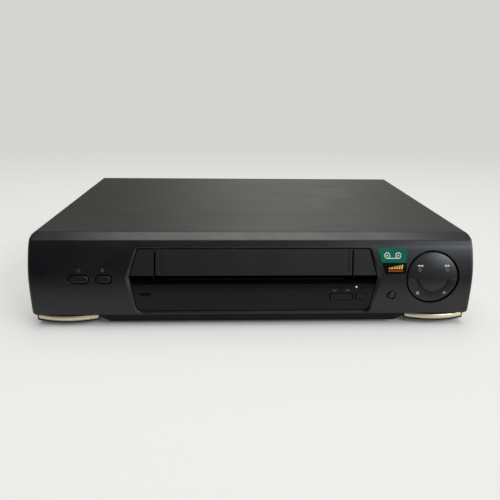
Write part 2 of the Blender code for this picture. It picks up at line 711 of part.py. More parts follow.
def make_feature_sticker(case):
    """A thin label that follows the face beside the recess."""
    rings = []
    for height in (54.7, 60.0, 70.0, 78.3):
        share = (height - 54.7) / (78.3 - 54.7)
        left = 127.8 + (120.4 - 127.8) * share
        right = 148.2 + (149.1 - 148.2) * share
        back = FOLD + face_depth(height) - GAP
        rings.append([(left, back - 0.15, height), (right, back - 0.15, height), (right, back, height),
                      (left, back, height)])
    finish("feature_sticker", loft(rings), "green_label", case)


# Door, keys and disc

def make_cassette_door(case):
    hinge = (0.0, FOLD + DOOR_PIN[0], DOOR_PIN[1])
    run_in = (DOOR_THICK * cos(DOOR_LEAN), -DOOR_THICK * sin(DOOR_LEAN))
    section = [(door_depth(DOOR_TOP), DOOR_TOP), (door_depth(DOOR_FOOT), DOOR_FOOT),
               (door_depth(DOOR_FOOT) + run_in[0] + 0.2, DOOR_FOOT),
               (door_depth(DOOR_TOP) + run_in[0], DOOR_TOP + run_in[1])]
    door = plate([(FOLD + depth, height) for depth, height in section], "X", -DOOR_HALF, DOOR_HALF)
    grooves = []
    for side in (-1, 1):
        across = sorted((side * 91.2, side * 91.9))
        levels = (DOOR_FOOT + 1.8, DOOR_TOP - 1.6)
        rings = [[(x, FOLD + door_depth(z) + back, z) for x, z in rectangle(*across, *levels)]
                 for back in (-2.0, 0.5)]
        grooves.append(loft(rings))
    carve(door, group(grooves))
    for side in (-1, 1):
        fuse(door, rod((side * 94.5, hinge[1], hinge[2]), (side * 98.3, hinge[1], hinge[2]), 0.8, 10))
    finish("cassette_door", door, "black_plastic", case, hinge)


def key(cap, flange, stem, front, radius, chamfer=0.4):
    """A push key: a cap, the flange that keeps it in, and the stem that reaches its switch."""
    back = flange[0] + 0.3
    outline = rounded_rectangle(*cap, radius)
    face = rounded_rectangle(cap[0] + chamfer, cap[1] - chamfer, cap[2] + chamfer, cap[3] - chamfer,
                             max(radius - chamfer, 0.2))
    body = loft([[(x, FOLD + depth, z) for x, z in line]
                 for line, depth in ((face, front), (outline, front + chamfer), (outline, back))])
    middle = ((cap[0] + cap[1]) / 2, (cap[2] + cap[3]) / 2)
    rim = flange[2]
    fuse(body, front_block((cap[0] - rim, cap[1] + rim), flange[:2], (cap[2] - rim, cap[3] + rim)),
         front_block((middle[0] - stem, middle[0] + stem), (flange[1] - 0.3, SWITCH_TIP - 1.3),
                     (middle[1] - 0.9, middle[1] + 0.9)))
    return body


def make_keys(case):
    for name, ends in (("power_button", POWER), ("eject_button", EJECT)):
        cap = (ends[0] + 0.4, ends[1] - 0.4, PILL[0] + 0.4, PILL[1] - 0.4)
        piece = key(cap, (-22.2, -21.2, 1.2), 2.5, -26.9, 4.1, 0.7)
        finish(name, piece, "black_plastic", case, ((ends[0] + ends[1]) / 2, FOLD - 26.9, 50.0))
    cap = (RECORD[0] + 0.3, RECORD[1] - 0.3, RECORD[2] + 0.3, RECORD[3] - 0.3)
    piece = key(cap, (-22.7, -21.7, 1.0), 2.0, -26.0, 1.0)
    finish("record_button", piece, "black_plastic", case, (105.9, FOLD - 26.0, 31.2))
    cap = (DIRECT[0] + 0.3, DIRECT[1] - 0.3, DIRECT[2] + 0.3, DIRECT[3] - 0.3)
    piece = key(cap, (-22.7, -21.7, 1.0), 2.0, -26.0, 0.5, 0.3)
    finish("direct_record_button", piece, "black_plastic", case, (-106.1, FOLD - 26.0, 33.95))
    profile = [(2.5, 0.0), (3.3, 0.5), (3.3, 3.4), (4.4, 3.4), (4.4, 4.4), (1.5, 4.4), (1.5, 12.0)]
    timer = turned(profile, (TIMER[0], FOLD - 27.4, TIMER[1]), (0, 1, 0), 20)
    finish("timer_button", timer, "black_plastic", case, (TIMER[0], FOLD - 27.4, TIMER[1]))


def make_channel_rocker(case):
    left, right, low, high = CHANNEL[0] + 0.6, CHANNEL[1] - 0.6, CHANNEL[2] + 0.3, CHANNEL[3] - 0.3
    middle = (left + right) / 2
    cap = [[(x, FOLD + depth, z) for x, z in rounded_rectangle(left + inset, right - inset, low + inset,
                                                               high - inset, 1.0 - inset)]
           for inset, depth in ((0.4, -26.1), (0.0, -25.7), (0.0, -23.6))]
    rocker = loft(cap)
    carve(rocker, front_block((middle - 1.8, middle + 1.8), (-27.0, -25.7), (low - 1.0, low + 1.6)))
    fuse(rocker, front_block((middle - 2.2, middle + 2.2), (-24.0, -22.2), (28.5, 33.0)),
         front_block((middle - 0.9, middle + 0.9), (-22.5, -18.0), (25.0, 35.8)),
         rod((middle, FOLD - 19.0, 23.2), (middle, FOLD - 19.0, 37.8), 0.75, 8))
    for reach in (-7.2, 7.2):
        fuse(rocker, front_block((middle + reach - 1.5, middle + reach + 1.5), (-24.0, SWITCH_TIP - 0.6), (29.6, 31.6)))
    finish("channel_rocker", rocker, "black_plastic", case, (middle, FOLD - 19.0, 30.75))


def make_disc(case):
    frame = disc_frame()
    pivot = frame @ Vector((0, 0, PIVOT_LEVEL))
    ring = tube((0, 0, PIVOT_LEVEL - 1.2), (0, 0, PIVOT_LEVEL + 1.2), 5.2, 3.4, 16)
    carve(ring, diagonal_rod(1, -8.0, 8.0, 1.1), diagonal_rod(-1, -8.0, 8.0, 1.1))
    gimbal = finish("disc_gimbal", placed(ring, frame), "grey_plastic", case, pivot)
    angles = [2 * pi * step / 48 for step in range(48)]
    radii = [DISC_RADIUS - 0.5, 22.0, 18.5, 16.0, TONGUE_RADIUS + 0.6, TONGUE_RADIUS, 9.0, 4.0]
    rings = [[(DISC_RADIUS * cos(angle), DISC_RADIUS * sin(angle), -2.2) for angle in angles],
             [disc_point(DISC_RADIUS, angle, 0.5) for angle in angles]]
    rings += [[disc_point(radius, angle) for angle in angles] for radius in radii]
    disc = placed(loft(rings), frame)
    hub = tube((0, 0, PIVOT_LEVEL - 1.2), (0, 0, -1.8), 7.6, 5.8, 20)
    fuse(hub, diagonal_rod(-1, 3.6, 6.6, 0.8), diagonal_rod(-1, -6.6, -3.6, 0.8))
    pads = [rod((*place, -3.4), (*place, -1.8), 2.0, 8) for place in press_places()]
    fuse(disc, placed(hub, frame), placed(group(pads), frame))
    finish("transport_disc", disc, "black_plastic", gimbal, pivot)


def face_level(up):
    """How far the face stands out from the disc's plane, at a distance up its slope."""
    level = 0.0
    for _ in range(12):
        height = DISC_CENTRE[2] + up * cos(DISC_LEAN) + level * sin(DISC_LEAN)
        depth = DISC_CENTRE[1] - FOLD + up * sin(DISC_LEAN) - level * cos(DISC_LEAN)
        level += (depth - face_depth(height)) * cos(DISC_LEAN)
    return level


def disc_point(radius, angle, lower=0.0):
    """A point on the disc's front: a shallow dome with a scoop below its middle tongue."""
    across, up = radius * cos(angle), radius * sin(angle)
    level = face_level(up) + DISC_PROUD - DOME_CURVE * across ** 2
    share = max(0.0, min(1.0, (0.05 - sin(angle)) / 0.5))
    below = share * share * (3.0 - 2.0 * share)
    if radius > TONGUE_RADIUS:
        outwards = max(0.0, (radius - TONGUE_RADIUS - 0.6) / (DISC_RADIUS - 1.0 - TONGUE_RADIUS))
        level -= SCOOP_DEPTH * below * max(0.0, 1.0 - outwards) ** 1.3
    return (across, up, level - lower)


def press_places():
    """Where the disc presses its four switches, on its diagonals."""
    reach = 18.0 * cos(radians(45))
    return [(a * reach, b * reach) for a in (-1, 1) for b in (-1, 1)]


# Electronics

def switch(low, high, tip):
    """A small push switch standing on a board, drawn upright at the local origin."""
    rings = [[(x, y, level) for x, y in rectangle(-size, size, -size, size)]
             for size, level in ((3.0, low), (3.0, high), (1.5, high), (1.5, tip))]
    return loft(rings)


def key_switches():
    """The switches behind the keys, standing on the front board."""
    face_out = Matrix(((1, 0, 0, 0), (0, 0, -1, 0), (0, 1, 0, 0), (0, 0, 0, 1)))
    keys = [((POWER[0] + POWER[1]) / 2, 50.05), ((EJECT[0] + EJECT[1]) / 2, 50.05), TIMER, (105.9, 31.2),
            (-106.1, 33.95), (79.0, 30.6), (93.4, 30.6)]
    front = FRONT_BOARD[0]
    return [placed(switch(-0.5, 3.9, front - SWITCH_TIP), Matrix.Translation((x, FOLD + front, z)) @ face_out)
            for x, z in keys]


def make_front_boards(case):
    outline = [(-205, 17), (205, 17), (205, 43.6), (-121, 43.6), (-121, 62), (-205, 62)]
    board = plate(outline, "Y", FOLD + FRONT_BOARD[0], FOLD + FRONT_BOARD[1])
    finish("front_board", fuse(board, *key_switches()), "circuit_board", case)
    low = WELL_FLOOR + GAP
    board = tube((0, 0, low), (0, 0, low + 1.2), 24.6, 3.8, 24)
    for place in press_places():
        fuse(board, placed(switch(low + 0.8, -5.5, -4.6), Matrix.Translation((*place, 0))))
    finish("disc_switch_board", placed(board, disc_frame()), "circuit_board", case)


def can_capacitors(places):
    return [turned([(r, -0.5), (r, 2.0), (r * 0.9, 2.6), (r, 3.2), (r, h)],
                   (x, y, BOARD[1]), steps=10) for x, y, r, h in places]


def chips(places):
    pieces = []
    for x, y, wide, deep in places:
        rings = [[(px, py, level) for px, py in rectangle(x - wide / 2 + inset, x + wide / 2 - inset,
                                                          y - deep / 2 + inset, y + deep / 2 - inset)]
                 for inset, level in ((0.4, BOARD[1] - 0.5), (0.0, BOARD[1] + 1.4), (0.4, BOARD[1] + 2.8))]
        pieces.append(loft(rings))
    return pieces


def make_boards(case):
    main = block((-102.0, 208.0), (-118.0, 140.0), BOARD)
    carve(main, group([upright(place, 8.0, 15.0, 4.8, 12) for place in DECK_POSTS]))
    parts = chips([(-60.0, -70.0, 30.0, 12.0), (20.0, -70.0, 22.0, 22.0), (30.0, 0.0, 36.0, 14.0),
                   (-40.0, 20.0, 20.0, 20.0), (150.0, -40.0, 26.0, 26.0), (180.0, 10.0, 18.0, 10.0),
                   (140.0, 10.0, 24.0, 10.0)])
    parts += can_capacitors([(150.0, 40.0, 5.0, 14.0), (170.0, 52.0, 4.0, 11.0), (128.0, 66.0, 4.0, 11.0)])
    finish("main_board", fuse(main, group(parts)), "circuit_board", case)
    power = block((-208.0, -104.0), (-118.0, 140.0), BOARD)
    parts = can_capacitors([(-190.0, 20.0, 9.0, 34.0), (-166.0, 24.0, 6.5, 24.0), (-148.0, 12.0, 5.0, 16.0),
                            (-188.0, -14.0, 6.5, 22.0), (-128.0, 10.0, 5.0, 14.0)])
    finish("power_board", fuse(power, group(parts)), "paper_board", case)


def make_power_parts(case):
    core = block((-202.0, -146.0), (82.0, 102.0), (BOARD_TOP, 58.0))
    coil = plate(rounded_rectangle(-192.0, -156.0, 68.0, 116.0, 6.0, 2), "Z", 19.0, 52.0)
    tabs = block((-207.0, -141.0), (86.0, 98.0), (BOARD_TOP, BOARD_TOP + 1.6))
    finish("transformer", fuse(core, coil, tabs), "zinc_steel", case)
    fins = [(-135.0, 36.0), (-131.5, 36.0)]
    for n in range(7):
        low = 38.0 + 9.0 * n
        fins += [(-131.5, low), (-116.0, low), (-116.0, low + 2.0), (-131.5, low + 2.0)]
    fins += [(-131.5, 96.0), (-135.0, 96.0)]
    finish("heat_sink", plate(fins, "Z", BOARD_TOP, 58.0), "aluminium", case)
    can = block((162.0, 206.0), (96.0, AERIAL_PLATE[0] - GAP), (BOARD_TOP, 44.0))
    lid = block((161.6, 206.4), (95.6, AERIAL_PLATE[0] - GAP), (40.0, 45.0))
    finish("tuner_can", fuse(can, lid), "zinc_steel", case)


def make_sockets(case):
    inside = (124.0, PANEL_BACK + GAP + 0.5)
    outside = (PANEL_BACK + GAP, PANEL_BACK + GAP + 1.8)
    low, high = SCART_LEVELS
    scart = fuse(block((SCART_X - 22.2, SCART_X + 22.2), inside, (low - 6.9, high + 6.9)),
                 block((SCART_X - 26.0, SCART_X + 26.0), outside, (low - 8.6, high + 8.6)))
    for level in SCART_LEVELS:
        rings = [[(SCART_X + x, y, level + z) for x, z in scart_shape(grow)]
                 for grow, y in ((0.0, 139.0), (1.5, 139.0), (1.5, 150.0), (0.0, 150.0))]
        carve(scart, loft(rings, closed=True))
    finish("scart_sockets", scart, "matt_black", case)
    aerials = block((165.0, 203.0), AERIAL_PLATE, (AERIAL_LEVEL - 9.0, AERIAL_LEVEL + 9.0))
    for x in AERIAL_X:
        fuse(aerials, rod((x, AERIAL_PLATE[0] + 0.5, AERIAL_LEVEL), (x, AERIAL_END, AERIAL_LEVEL), 4.8, 16))
        carve(aerials, rod((x, AERIAL_PLATE[1], AERIAL_LEVEL), (x, AERIAL_END + 2.0, AERIAL_LEVEL), 1.9, 12))
    finish("aerial_sockets", aerials, "polished_steel", case)
    phono = block((167.0, 201.0), (126.0, PANEL_FRONT - GAP), (46.0, 68.0))
    for x in PHONO_X:
        fuse(phono, rod((x, 140.0, PHONO_LEVEL), (x, 152.0, PHONO_LEVEL), 4.2, 16))
        carve(phono, rod((x, 145.0, PHONO_LEVEL), (x, 156.0, PHONO_LEVEL), 1.7, 10))
    finish("audio_sockets", phono, "grey_plastic", case)
    x, level = INLET
    inlet = block((x - 12.2, x + 12.2), (122.0, outside[1] - 0.2), (level - 7.2, level + 7.2))
    fuse(inlet, block((x - 16.0, x + 16.0), outside, (level - 9.2, level + 9.2)),
         block((x - 13.0, x + 13.0), (126.0, 140.0), (BOARD_TOP, level)))
    carve(inlet, plate(rounded_rectangle(x - 9.2, x + 9.2, level - 4.6, level + 4.6, 4.5), "Y", 133.0, 150.0))
    pins = [rod((x + reach, 132.0, level), (x + reach, 145.0, level), 1.2, 8) for reach in (-4.3, 4.3)]
    finish("mains_inlet", fuse(inlet, group(pins)), "matt_black", case)


def scart_shape(grow):
    """The slanted outline of the plug's shield."""
    return [(-20.0 - grow, 4.4 + grow), (-20.0 - grow, -4.4 - grow), (20.0 + grow, -4.4 - grow),
            (20.0 + grow, 0.5 + grow * 0.4), (16.5 + grow * 0.4, 4.4 + grow)]


# Tape deck

def make_deck_plate(case):
    deck = block((-DECK_SIDE, DECK_SIDE), (FOLD + 7.5, 142.0), DECK)
    low = DECK[0] + 0.4
    posts = [upright(place, low, 38.0, 1.5) for place in REELS]
    posts += [upright(IDLER_PIVOT, low, 31.2, 1.8), upright(PINCH_PIVOT, low, 34.0, 2.0),
              upright(TENSION_PIVOT, low, 32.0, 2.0), upright(CAM, low, 38.4, 2.5), upright(CAPSTAN, low, 28.4, 5.0, 16)]
    fuse(deck, group(posts))
    holes = [upright(place, 20.0, 30.0, 1.8, 8) for place in DECK_POSTS] + [upright(CAPSTAN, 20.0, 40.0, 1.9, 12)]
    holes += [block((x - 15.0, x + 15.0), (y - 9.0, y + 9.0), (20.0, 30.0)) for x, y in ((-60.0, -95.0), (60.0, -95.0))]
    finish("deck_plate", carve(deck, group(holes)), "zinc_steel", case)


def make_deck_screws(case):
    profile = [(1.4, -9.0), (1.4, GAP), (3.2, GAP), (3.2, 1.4), (2.2, 2.0)]
    for name, place in zip(("deck_screw_left", "deck_screw_right"), DECK_SCREWS):
        finish(name, turned(profile, (*place, DECK[1]), steps=8), "polished_steel", case)


def drum_frame():
    return Matrix.Translation((*DRUM, DRUM_LEVEL)) @ Matrix.Rotation(DRUM_LEAN, 4, "Y")


def make_drum(case):
    boss = upright(DRUM, ON_DECK, DRUM_LEVEL + 2.0, 11.5, 24)
    lower = turned([(DRUM_RADIUS - 0.6, 0.0), (DRUM_RADIUS, 0.6), (DRUM_RADIUS, 8.0)], (0, 0, 0), steps=32)
    fuse(lower, rod((0, 0, 7.0), (0, 0, 19.6), 3.0))
    finish("drum_base", fuse(boss, placed(lower, drum_frame())), "aluminium", case)
    rim = DRUM_RADIUS
    profile = [(3.4, 8.4), (rim - 0.5, 8.4), (rim, 8.9), (rim, 16.4), (rim - 0.6, 17.0), (12.0, 17.0),
               (12.0, 19.0), (3.4, 19.0)]
    head = placed(turned(profile, (0, 0, 0), steps=32, closed=True), drum_frame())
    finish("drum_head", head, "polished_steel", case, drum_frame() @ Vector((0, 0, 12.0)))


def make_loading_arms(case):
    """Two arms under the drum, each with the post that draws the tape round it."""
    for name, angle, low in (("supply_loading_arm", radians(240), 27.0), ("takeup_loading_arm", radians(300), 28.6)):
        ring = tube((*DRUM, low), (*DRUM, low + 1.2), 17.0, 12.0, 24)
        swing = Matrix.Translation((*DRUM, 0)) @ Matrix.Rotation(angle, 4, "Z")
        bar = plate(rounded_rectangle(15.0, POST_ORBIT + 4.0, -4.0, 4.0, 3.0, 2), "Z", low, low + 1.2)
        post = turned([(3.6, low), (3.6, 33.0), (1.6, 33.0), (1.6, 34.0), (2.6, 34.0), (2.6, 49.0), (1.6, 49.0),
                       (1.6, 51.0)], (POST_ORBIT, 0, 0), steps=10)
        fuse(ring, placed(fuse(bar, post), swing))
        finish(name, ring, "zinc_steel", case, (*DRUM, low))


def make_reels(case):
    for name, place in (("supply_reel", REELS[0]), ("takeup_reel", REELS[1])):
        profile = [(1.9, 26.0), (16.0, 26.0), (16.0, 28.4), (7.0, 28.8), (5.0, 29.6), (5.0, 38.0), (3.4, 41.0),
                   (1.9, 41.0)]
        reel = turned(profile, (*place, 0), steps=18, closed=True)
        for n in range(3):
            turn = Matrix.Translation((*place, 0)) @ Matrix.Rotation(radians(120 * n), 4, "Z")
            fuse(reel, placed(block((4.0, 6.6), (-0.8, 0.8), (29.0, 37.0)), turn))
        finish(name, reel, "grey_plastic", case, (*place, 26.0))


def make_idler(case):
    wheel_place = (IDLER_PIVOT[0], IDLER_PIVOT[1] + 60.0)
    x, low, high = IDLER_PIVOT[0], IDLER_PIVOT[1], wheel_place[1]
    outline = rounded([(x - 4.5, low - 4.5, 4.4), (x + 4.5, low - 4.5, 4.4), (x + 3.5, high + 4.0, 3.4),
                       (x - 3.5, high + 4.0, 3.4)])
    arm = fuse(plate(outline, "Z", 29.0, 30.2), upright(wheel_place, 25.6, 29.4, 1.5))
    carve(arm, upright(IDLER_PIVOT, 28.0, 32.0, 2.2))
    arm = finish("idler_arm", arm, "zinc_steel", case, (*IDLER_PIVOT, 29.0))
    profile = [(1.9, 26.0), (19.0, 26.0), (19.6, 26.4), (19.6, 28.0), (19.0, 28.4), (1.9, 28.4)]
    wheel = turned(profile, (*wheel_place, 0), steps=20, closed=True)
    finish("idler_wheel", wheel, "rubber", arm, (*wheel_place, 27.2))


def make_capstan(case):
    profile = [(23.4, 15.5), (24.0, 16.1), (24.0, 21.0), (23.4, 21.6), (1.5, 21.6), (1.5, 50.0)]
    rotor = turned(profile, (*CAPSTAN, 0), steps=24)
    finish("capstan_rotor", rotor, "polished_steel", case, (*CAPSTAN, 15.5))


def make_pinch_roller(case):
    x, y = PINCH_PIVOT
    place = (x + PINCH_REACH * cos(PINCH_ANGLE), y + PINCH_REACH * sin(PINCH_ANGLE))
    swing = Matrix.Translation((x, y, 0)) @ Matrix.Rotation(PINCH_ANGLE, 4, "Z")
    bar = plate(rounded_rectangle(0.0, PINCH_REACH + 3.0, -3.0, 3.0, 2.6, 2), "Z", 29.0, 30.4)
    arm = fuse(placed(bar, swing), upright(PINCH_PIVOT, 28.0, 33.4, 4.0), upright(place, 29.6, 47.5, 1.5))
    carve(arm, upright(PINCH_PIVOT, 25.0, 40.0, 2.4))
    arm = finish("pinch_arm", arm, "zinc_steel", case, (*PINCH_PIVOT, 29.0))
    roller = tube((*place, 31.5), (*place, 46.0), 6.0, 1.9, 20)
    finish("pinch_roller", roller, "rubber", arm, (*place, 31.5))


def make_tension_arm(case):
    x, y = TENSION_PIVOT
    bar = plate(rounded_rectangle(x - 3.5, x + 21.0, y - 3.0, y + 3.5, 3.0, 2), "Z", 28.6, 29.8)
    arm = fuse(bar, upright((x + 18.0, y + 1.0), 29.0, 46.0, 2.0, 10))
    finish("tension_arm", carve(arm, upright(TENSION_PIVOT, 25.0, 35.0, 2.4)), "zinc_steel", case,
           (*TENSION_PIVOT, 28.6))


def make_fixed_heads(case):
    for name, x, y in (("erase_head", -50.0, 76.0), ("audio_head", 48.0, 74.0)):
        foot = block((x - 7.0, x + 7.0), (y - 4.0, y + 7.0), (ON_DECK, 29.0))
        body = plate(rounded([(x - 5.0, y - 4.0, 0), (x + 5.0, y - 4.0, 0), (x + 5.0, y + 5.0, 2.5),
                              (x - 5.0, y + 5.0, 2.5)], 2), "Z", 28.0, 47.0)
        finish(name, fuse(foot, body), "polished_steel", case)


def make_loading_drive(case):
    y, level = WORM_LINE
    motor = rod((-60.0, y, level), (-36.0, y, level), 8.5, 16)
    fuse(motor, block((-99.0, -38.0), (126.6, 134.0), (ON_DECK, 26.9)),
         block((-99.0, -97.0), (126.6, 134.0), (ON_DECK + 0.5, 38.5)))
    carve(motor, rod((-102.0, y, level), (-94.0, y, level), 1.4, 10))
    finish("loading_motor", motor, "zinc_steel", case)
    rings = []
    for n in range(21):
        x = -90.0 + 1.2 * n
        ring = []
        for step in range(8):
            angle = 2 * pi * step / 8
            radius = 3.2 + 0.9 * cos(angle - 2 * pi * n / 4)
            ring.append((x, y + radius * cos(angle), level + radius * sin(angle)))
        rings.append(ring)
    worm = fuse(loft(rings), rod((-98.6, y, level), (-60.3, y, level), 1.0, 8))
    finish("worm_shaft", worm, "white_plastic", case, (-78.0, y, level))
    teeth = 24
    outline = []
    for n in range(teeth):
        for radius, share in ((CAM_RADIUS - 2.2, 0.0), (CAM_RADIUS - 2.2, 0.45), (CAM_RADIUS, 0.6), (CAM_RADIUS, 0.85)):
            angle = 2 * pi * (n + share) / teeth
            outline.append((CAM[0] + radius * cos(angle), CAM[1] + radius * sin(angle)))
    gear = fuse(plate(outline, "Z", 32.0, 36.4), upright(CAM, 26.0, 37.6, 6.0, 16))
    carve(gear, upright(CAM, 20.0, 45.0, 2.9))
    finish("cam_gear", gear, "white_plastic", case, (*CAM, 32.0))


# Cassette carriage

def make_carriage_frame(case):
    """Two upright plates and their brace: straight slots for the carriage, stepped ones for the holder."""
    near, far = HOLDER_PINS
    high, low = HOLDER_PIN_LEVEL, HOLDER_PIN_LEVEL - SLIDE_DOWN
    wide = 2.3
    stepped = [(near - wide, high + wide), (near - wide, high - wide),
               (near + SLIDE_IN - wide, high - wide), (near + SLIDE_IN - wide, low - wide),
               (near + SLIDE_IN + wide, low - wide), (near + SLIDE_IN + wide, high - wide),
               (far + SLIDE_IN - wide, high - wide), (far + SLIDE_IN - wide, low - wide),
               (far + SLIDE_IN + wide, low - wide), (far + SLIDE_IN + wide, high + wide)]
    straight = rectangle(SLIDER_PINS[0] - 2.3, SLIDER_PINS[1] + SLIDE_IN + 2.3, SLIDER_PIN_LEVEL - 2.1,
                         SLIDER_PIN_LEVEL + 2.1)
    frame = block((-SIDE_PLATE[1], SIDE_PLATE[1]), (40.0, 54.0), (82.6, 84.0))
    for side in (-1, 1):
        sheet = plate([(-112.0, ON_DECK), (-112.0, 78.0), (-106.0, 84.0), (56.0, 84.0), (60.0, 80.0), (60.0, ON_DECK)],
                      "X", *sorted((side * SIDE_PLATE[0], side * SIDE_PLATE[1])))
        through = sorted((side * 98.0, side * 104.0))
        carve(sheet, plate(stepped, "X", *through), plate(straight, "X", *through))
        foot = block(sorted((side * (SIDE_PLATE[0] + 0.4), side * 108.0)), (-108.0, 56.0), (ON_DECK, 26.7))
        fuse(frame, fuse(sheet, foot))
    finish("carriage_frame", frame, "zinc_steel", case)


def make_carriage(case):
    """The carriage that slides back, with upright slots in which the holder goes down."""
    near, far = HOLDER_PINS
    bar_level = (78.0, 79.2)
    slider = block((-ARM[1], ARM[1]), (-72.0, -58.0), bar_level)
    slots = []
    for side in (-1, 1):
        arm = [(near - 6.0, 38.0), (far + 6.0, 38.0), (far + 6.0, 75.0), (-57.0, 79.2), (-73.0, 79.2), (near - 6.0, 75.0)]
        fuse(slider, plate(arm, "X", *sorted((side * ARM[0], side * ARM[1]))))
        for along in SLIDER_PINS:
            fuse(slider, rod((side * 98.0, along, SLIDER_PIN_LEVEL), (side * 101.3, along, SLIDER_PIN_LEVEL), 1.8, 10))
        for along in HOLDER_PINS:
            slots.append(block(sorted((side * 96.0, side * 99.4)), (along - 2.3, along + 2.3),
                               (HOLDER_PIN_LEVEL - SLIDE_DOWN - 2.3, HOLDER_PIN_LEVEL + 2.3)))
    carve(slider, group(slots))
    slider = finish("carriage_slider", slider, "zinc_steel", case, (0.0, -65.0, bar_level[0]))
    inner = HOLDER_SIDE - 1.0
    ledge = HOLDER_FOOT + 0.8
    roof = HOLDER_TOP - 0.8
    outline = [(-HOLDER_SIDE, HOLDER_FOOT), (-84, HOLDER_FOOT), (-84, ledge), (-inner, ledge), (-inner, roof),
               (inner, roof), (inner, ledge), (84, ledge), (84, HOLDER_FOOT), (HOLDER_SIDE, HOLDER_FOOT),
               (HOLDER_SIDE, HOLDER_TOP), (-HOLDER_SIDE, HOLDER_TOP)]
    holder = plate(outline, "Y", HOLDER_FRONT, HOLDER_BACK)
    for side in (-1, 1):
        fuse(holder, block(sorted((side * 84.0, side * (inner + 0.5))), (HOLDER_BACK - 1.0, HOLDER_BACK),
                           (HOLDER_FOOT + 0.2, 52.0)))
        for along in HOLDER_PINS:
            fuse(holder, rod((side * 96.0, along, HOLDER_PIN_LEVEL), (side * 99.6, along, HOLDER_PIN_LEVEL), 2.0, 10))
    windows = [block((x - 17.0, x + 17.0), (-92.0, -58.0), (70.0, 80.0)) for x in (-56.0, 0.0, 56.0)]
    finish("cassette_holder", carve(holder, group(windows)), "zinc_steel", slider,
           (0.0, HOLDER_FRONT, HOLDER_PIN_LEVEL))


def main():
    for old in list(bpy.data.objects):
        bpy.data.objects.remove(old)
    case = bpy.data.objects.new("recorder", None)
    bpy.context.scene.collection.objects.link(case)
    PIVOTS[case.name] = Vector((0, 0, 0))
    for make in (make_top_cover, make_cover_screws, make_bottom_pan, make_rear_panel, make_front_fascia,
                 make_slot_surround, make_door_spring, make_display_window, make_fluorescent_display,
                 make_foot_trims, make_front_feet, make_rear_feet, make_feature_sticker, make_cassette_door,
                 make_keys, make_channel_rocker, make_disc, make_front_boards, make_boards, make_power_parts,
                 make_sockets, make_deck_plate, make_deck_screws, make_drum, make_loading_arms, make_reels,
                 make_idler, make_capstan, make_pinch_roller, make_tension_arm, make_fixed_heads,
                 make_loading_drive, make_carriage_frame, make_carriage):
        make(case)


main()
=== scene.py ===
"""A home video cassette recorder on a pale floor: its fine surfaces, materials, lights and camera.

Lengths are in millimetres and become metres where a mesh is made. Depths on the front are counted
from the fold, the line where the front moulding meets the steel cover.
"""

import json
from math import acos, asin, atan2, cos, hypot, pi, radians, sin, tan

import bmesh
import bpy
from mathutils import Matrix, Vector


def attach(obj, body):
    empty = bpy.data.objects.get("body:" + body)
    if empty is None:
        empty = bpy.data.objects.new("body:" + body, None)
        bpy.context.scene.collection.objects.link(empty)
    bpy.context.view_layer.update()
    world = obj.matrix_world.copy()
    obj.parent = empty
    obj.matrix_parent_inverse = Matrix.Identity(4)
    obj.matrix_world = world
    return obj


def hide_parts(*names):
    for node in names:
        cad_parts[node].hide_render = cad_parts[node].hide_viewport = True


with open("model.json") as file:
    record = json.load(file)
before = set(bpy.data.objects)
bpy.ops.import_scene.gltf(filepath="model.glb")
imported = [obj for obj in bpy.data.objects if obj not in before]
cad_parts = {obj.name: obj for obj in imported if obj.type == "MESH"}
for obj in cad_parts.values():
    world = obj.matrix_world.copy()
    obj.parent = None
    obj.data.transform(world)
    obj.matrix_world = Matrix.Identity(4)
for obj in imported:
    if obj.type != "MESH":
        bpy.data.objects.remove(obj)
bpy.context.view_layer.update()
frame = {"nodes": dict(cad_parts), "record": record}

MM = 0.001
FOLD = -124.5

# Driving dimensions, with the front's lines drawn a little finer than in the solids
HALF_WIDTH = 216.0
FACE = [(-0.2, 89.8), (-9.5, 86.33), (-12.0, 85.5), (-13.6, 83.19), (-16.5, 79.0), (-20.5, 70.0),
        (-24.0, 60.0), (-26.0, 51.5), (-27.0, 40.0), (-27.0, 16.0), (-26.2, 13.0)]
FACE_FOOT = 13.0
WALL = 2.4
CORNER = 3.0
RECESS = [(113.0, 78.3), (121.2, 51.4), (115.0, 15.7)]
RECESS_EDGE = [(114.2, 79.1), (124.4, 50.8), (116.0, 14.0)]
RECESS_RADII = (3.0, 2.5, 7.0)
EDGE_RADII = (3.0, 2.5, 8.0)
BEVEL_DEPTH = 2.7
RETURN_WALL = 1.8
RETURN_BACK = -12.0
BEVEL_SLOPES = (0.45, 0.65, 1.17)
BEVEL_ENDS = (109.2, 110.4)
BEVEL_TURN = 12.0
LOWER_CORNER = 6.0
UPPER_CORNER = 3.5
WINDOW_TOP = 44.0
WINDOW_FOOT = 16.7
WINDOW_FRONT = -25.2
WINDOW_BACK = -23.2
WINDOW_BOW = 0.9
CHANNEL = (74.6, 97.8, 27.4, 34.1)
RECORD = (100.7, 111.1, 27.8, 34.6)
DIRECT = (-111.1, -101.1, 32.7, 35.2)
KEY_GAP = 0.3
DISC_CENTRE = (175.3, FOLD - 22.6, 50.5)
DISC_LEAN = radians(10.1)
DISC_RADIUS = 25.25
DISC_PROUD = 0.7
DISC_SIT = (0.35, -0.2)
DOME_CURVE = 0.0034
TONGUE_RADIUS = 13.4
SCOOP_DEPTH = 2.3
SCOOP_WALL = 1.6
SCOOP_TOP = -0.09
WELL_RADIUS = 26.6
WELL_FLOOR = -9.2
PIVOT_LEVEL = -4.2
POWER = (-178.3, -157.9)
EJECT = (-152.6, -136.4)
PILL = (45.5, 54.6)
PILL_CORNER = 4.5
PILL_GAP = 1.2
PILL_ROUND = 1.2
PILL_FRONT = -26.6
PILL_LEAN = radians(10)
FLANGE_FRONT = -22.2
TIMER = (135.7, 32.6)
DOOR_HALF = 95.4
DOOR_TOP = 77.4
DOOR_FOOT = 52.7
DOOR_LEAN = radians(15.1)
DOOR_PLANE = (-16.5, 78.3)
DOOR_THICK = 2.2
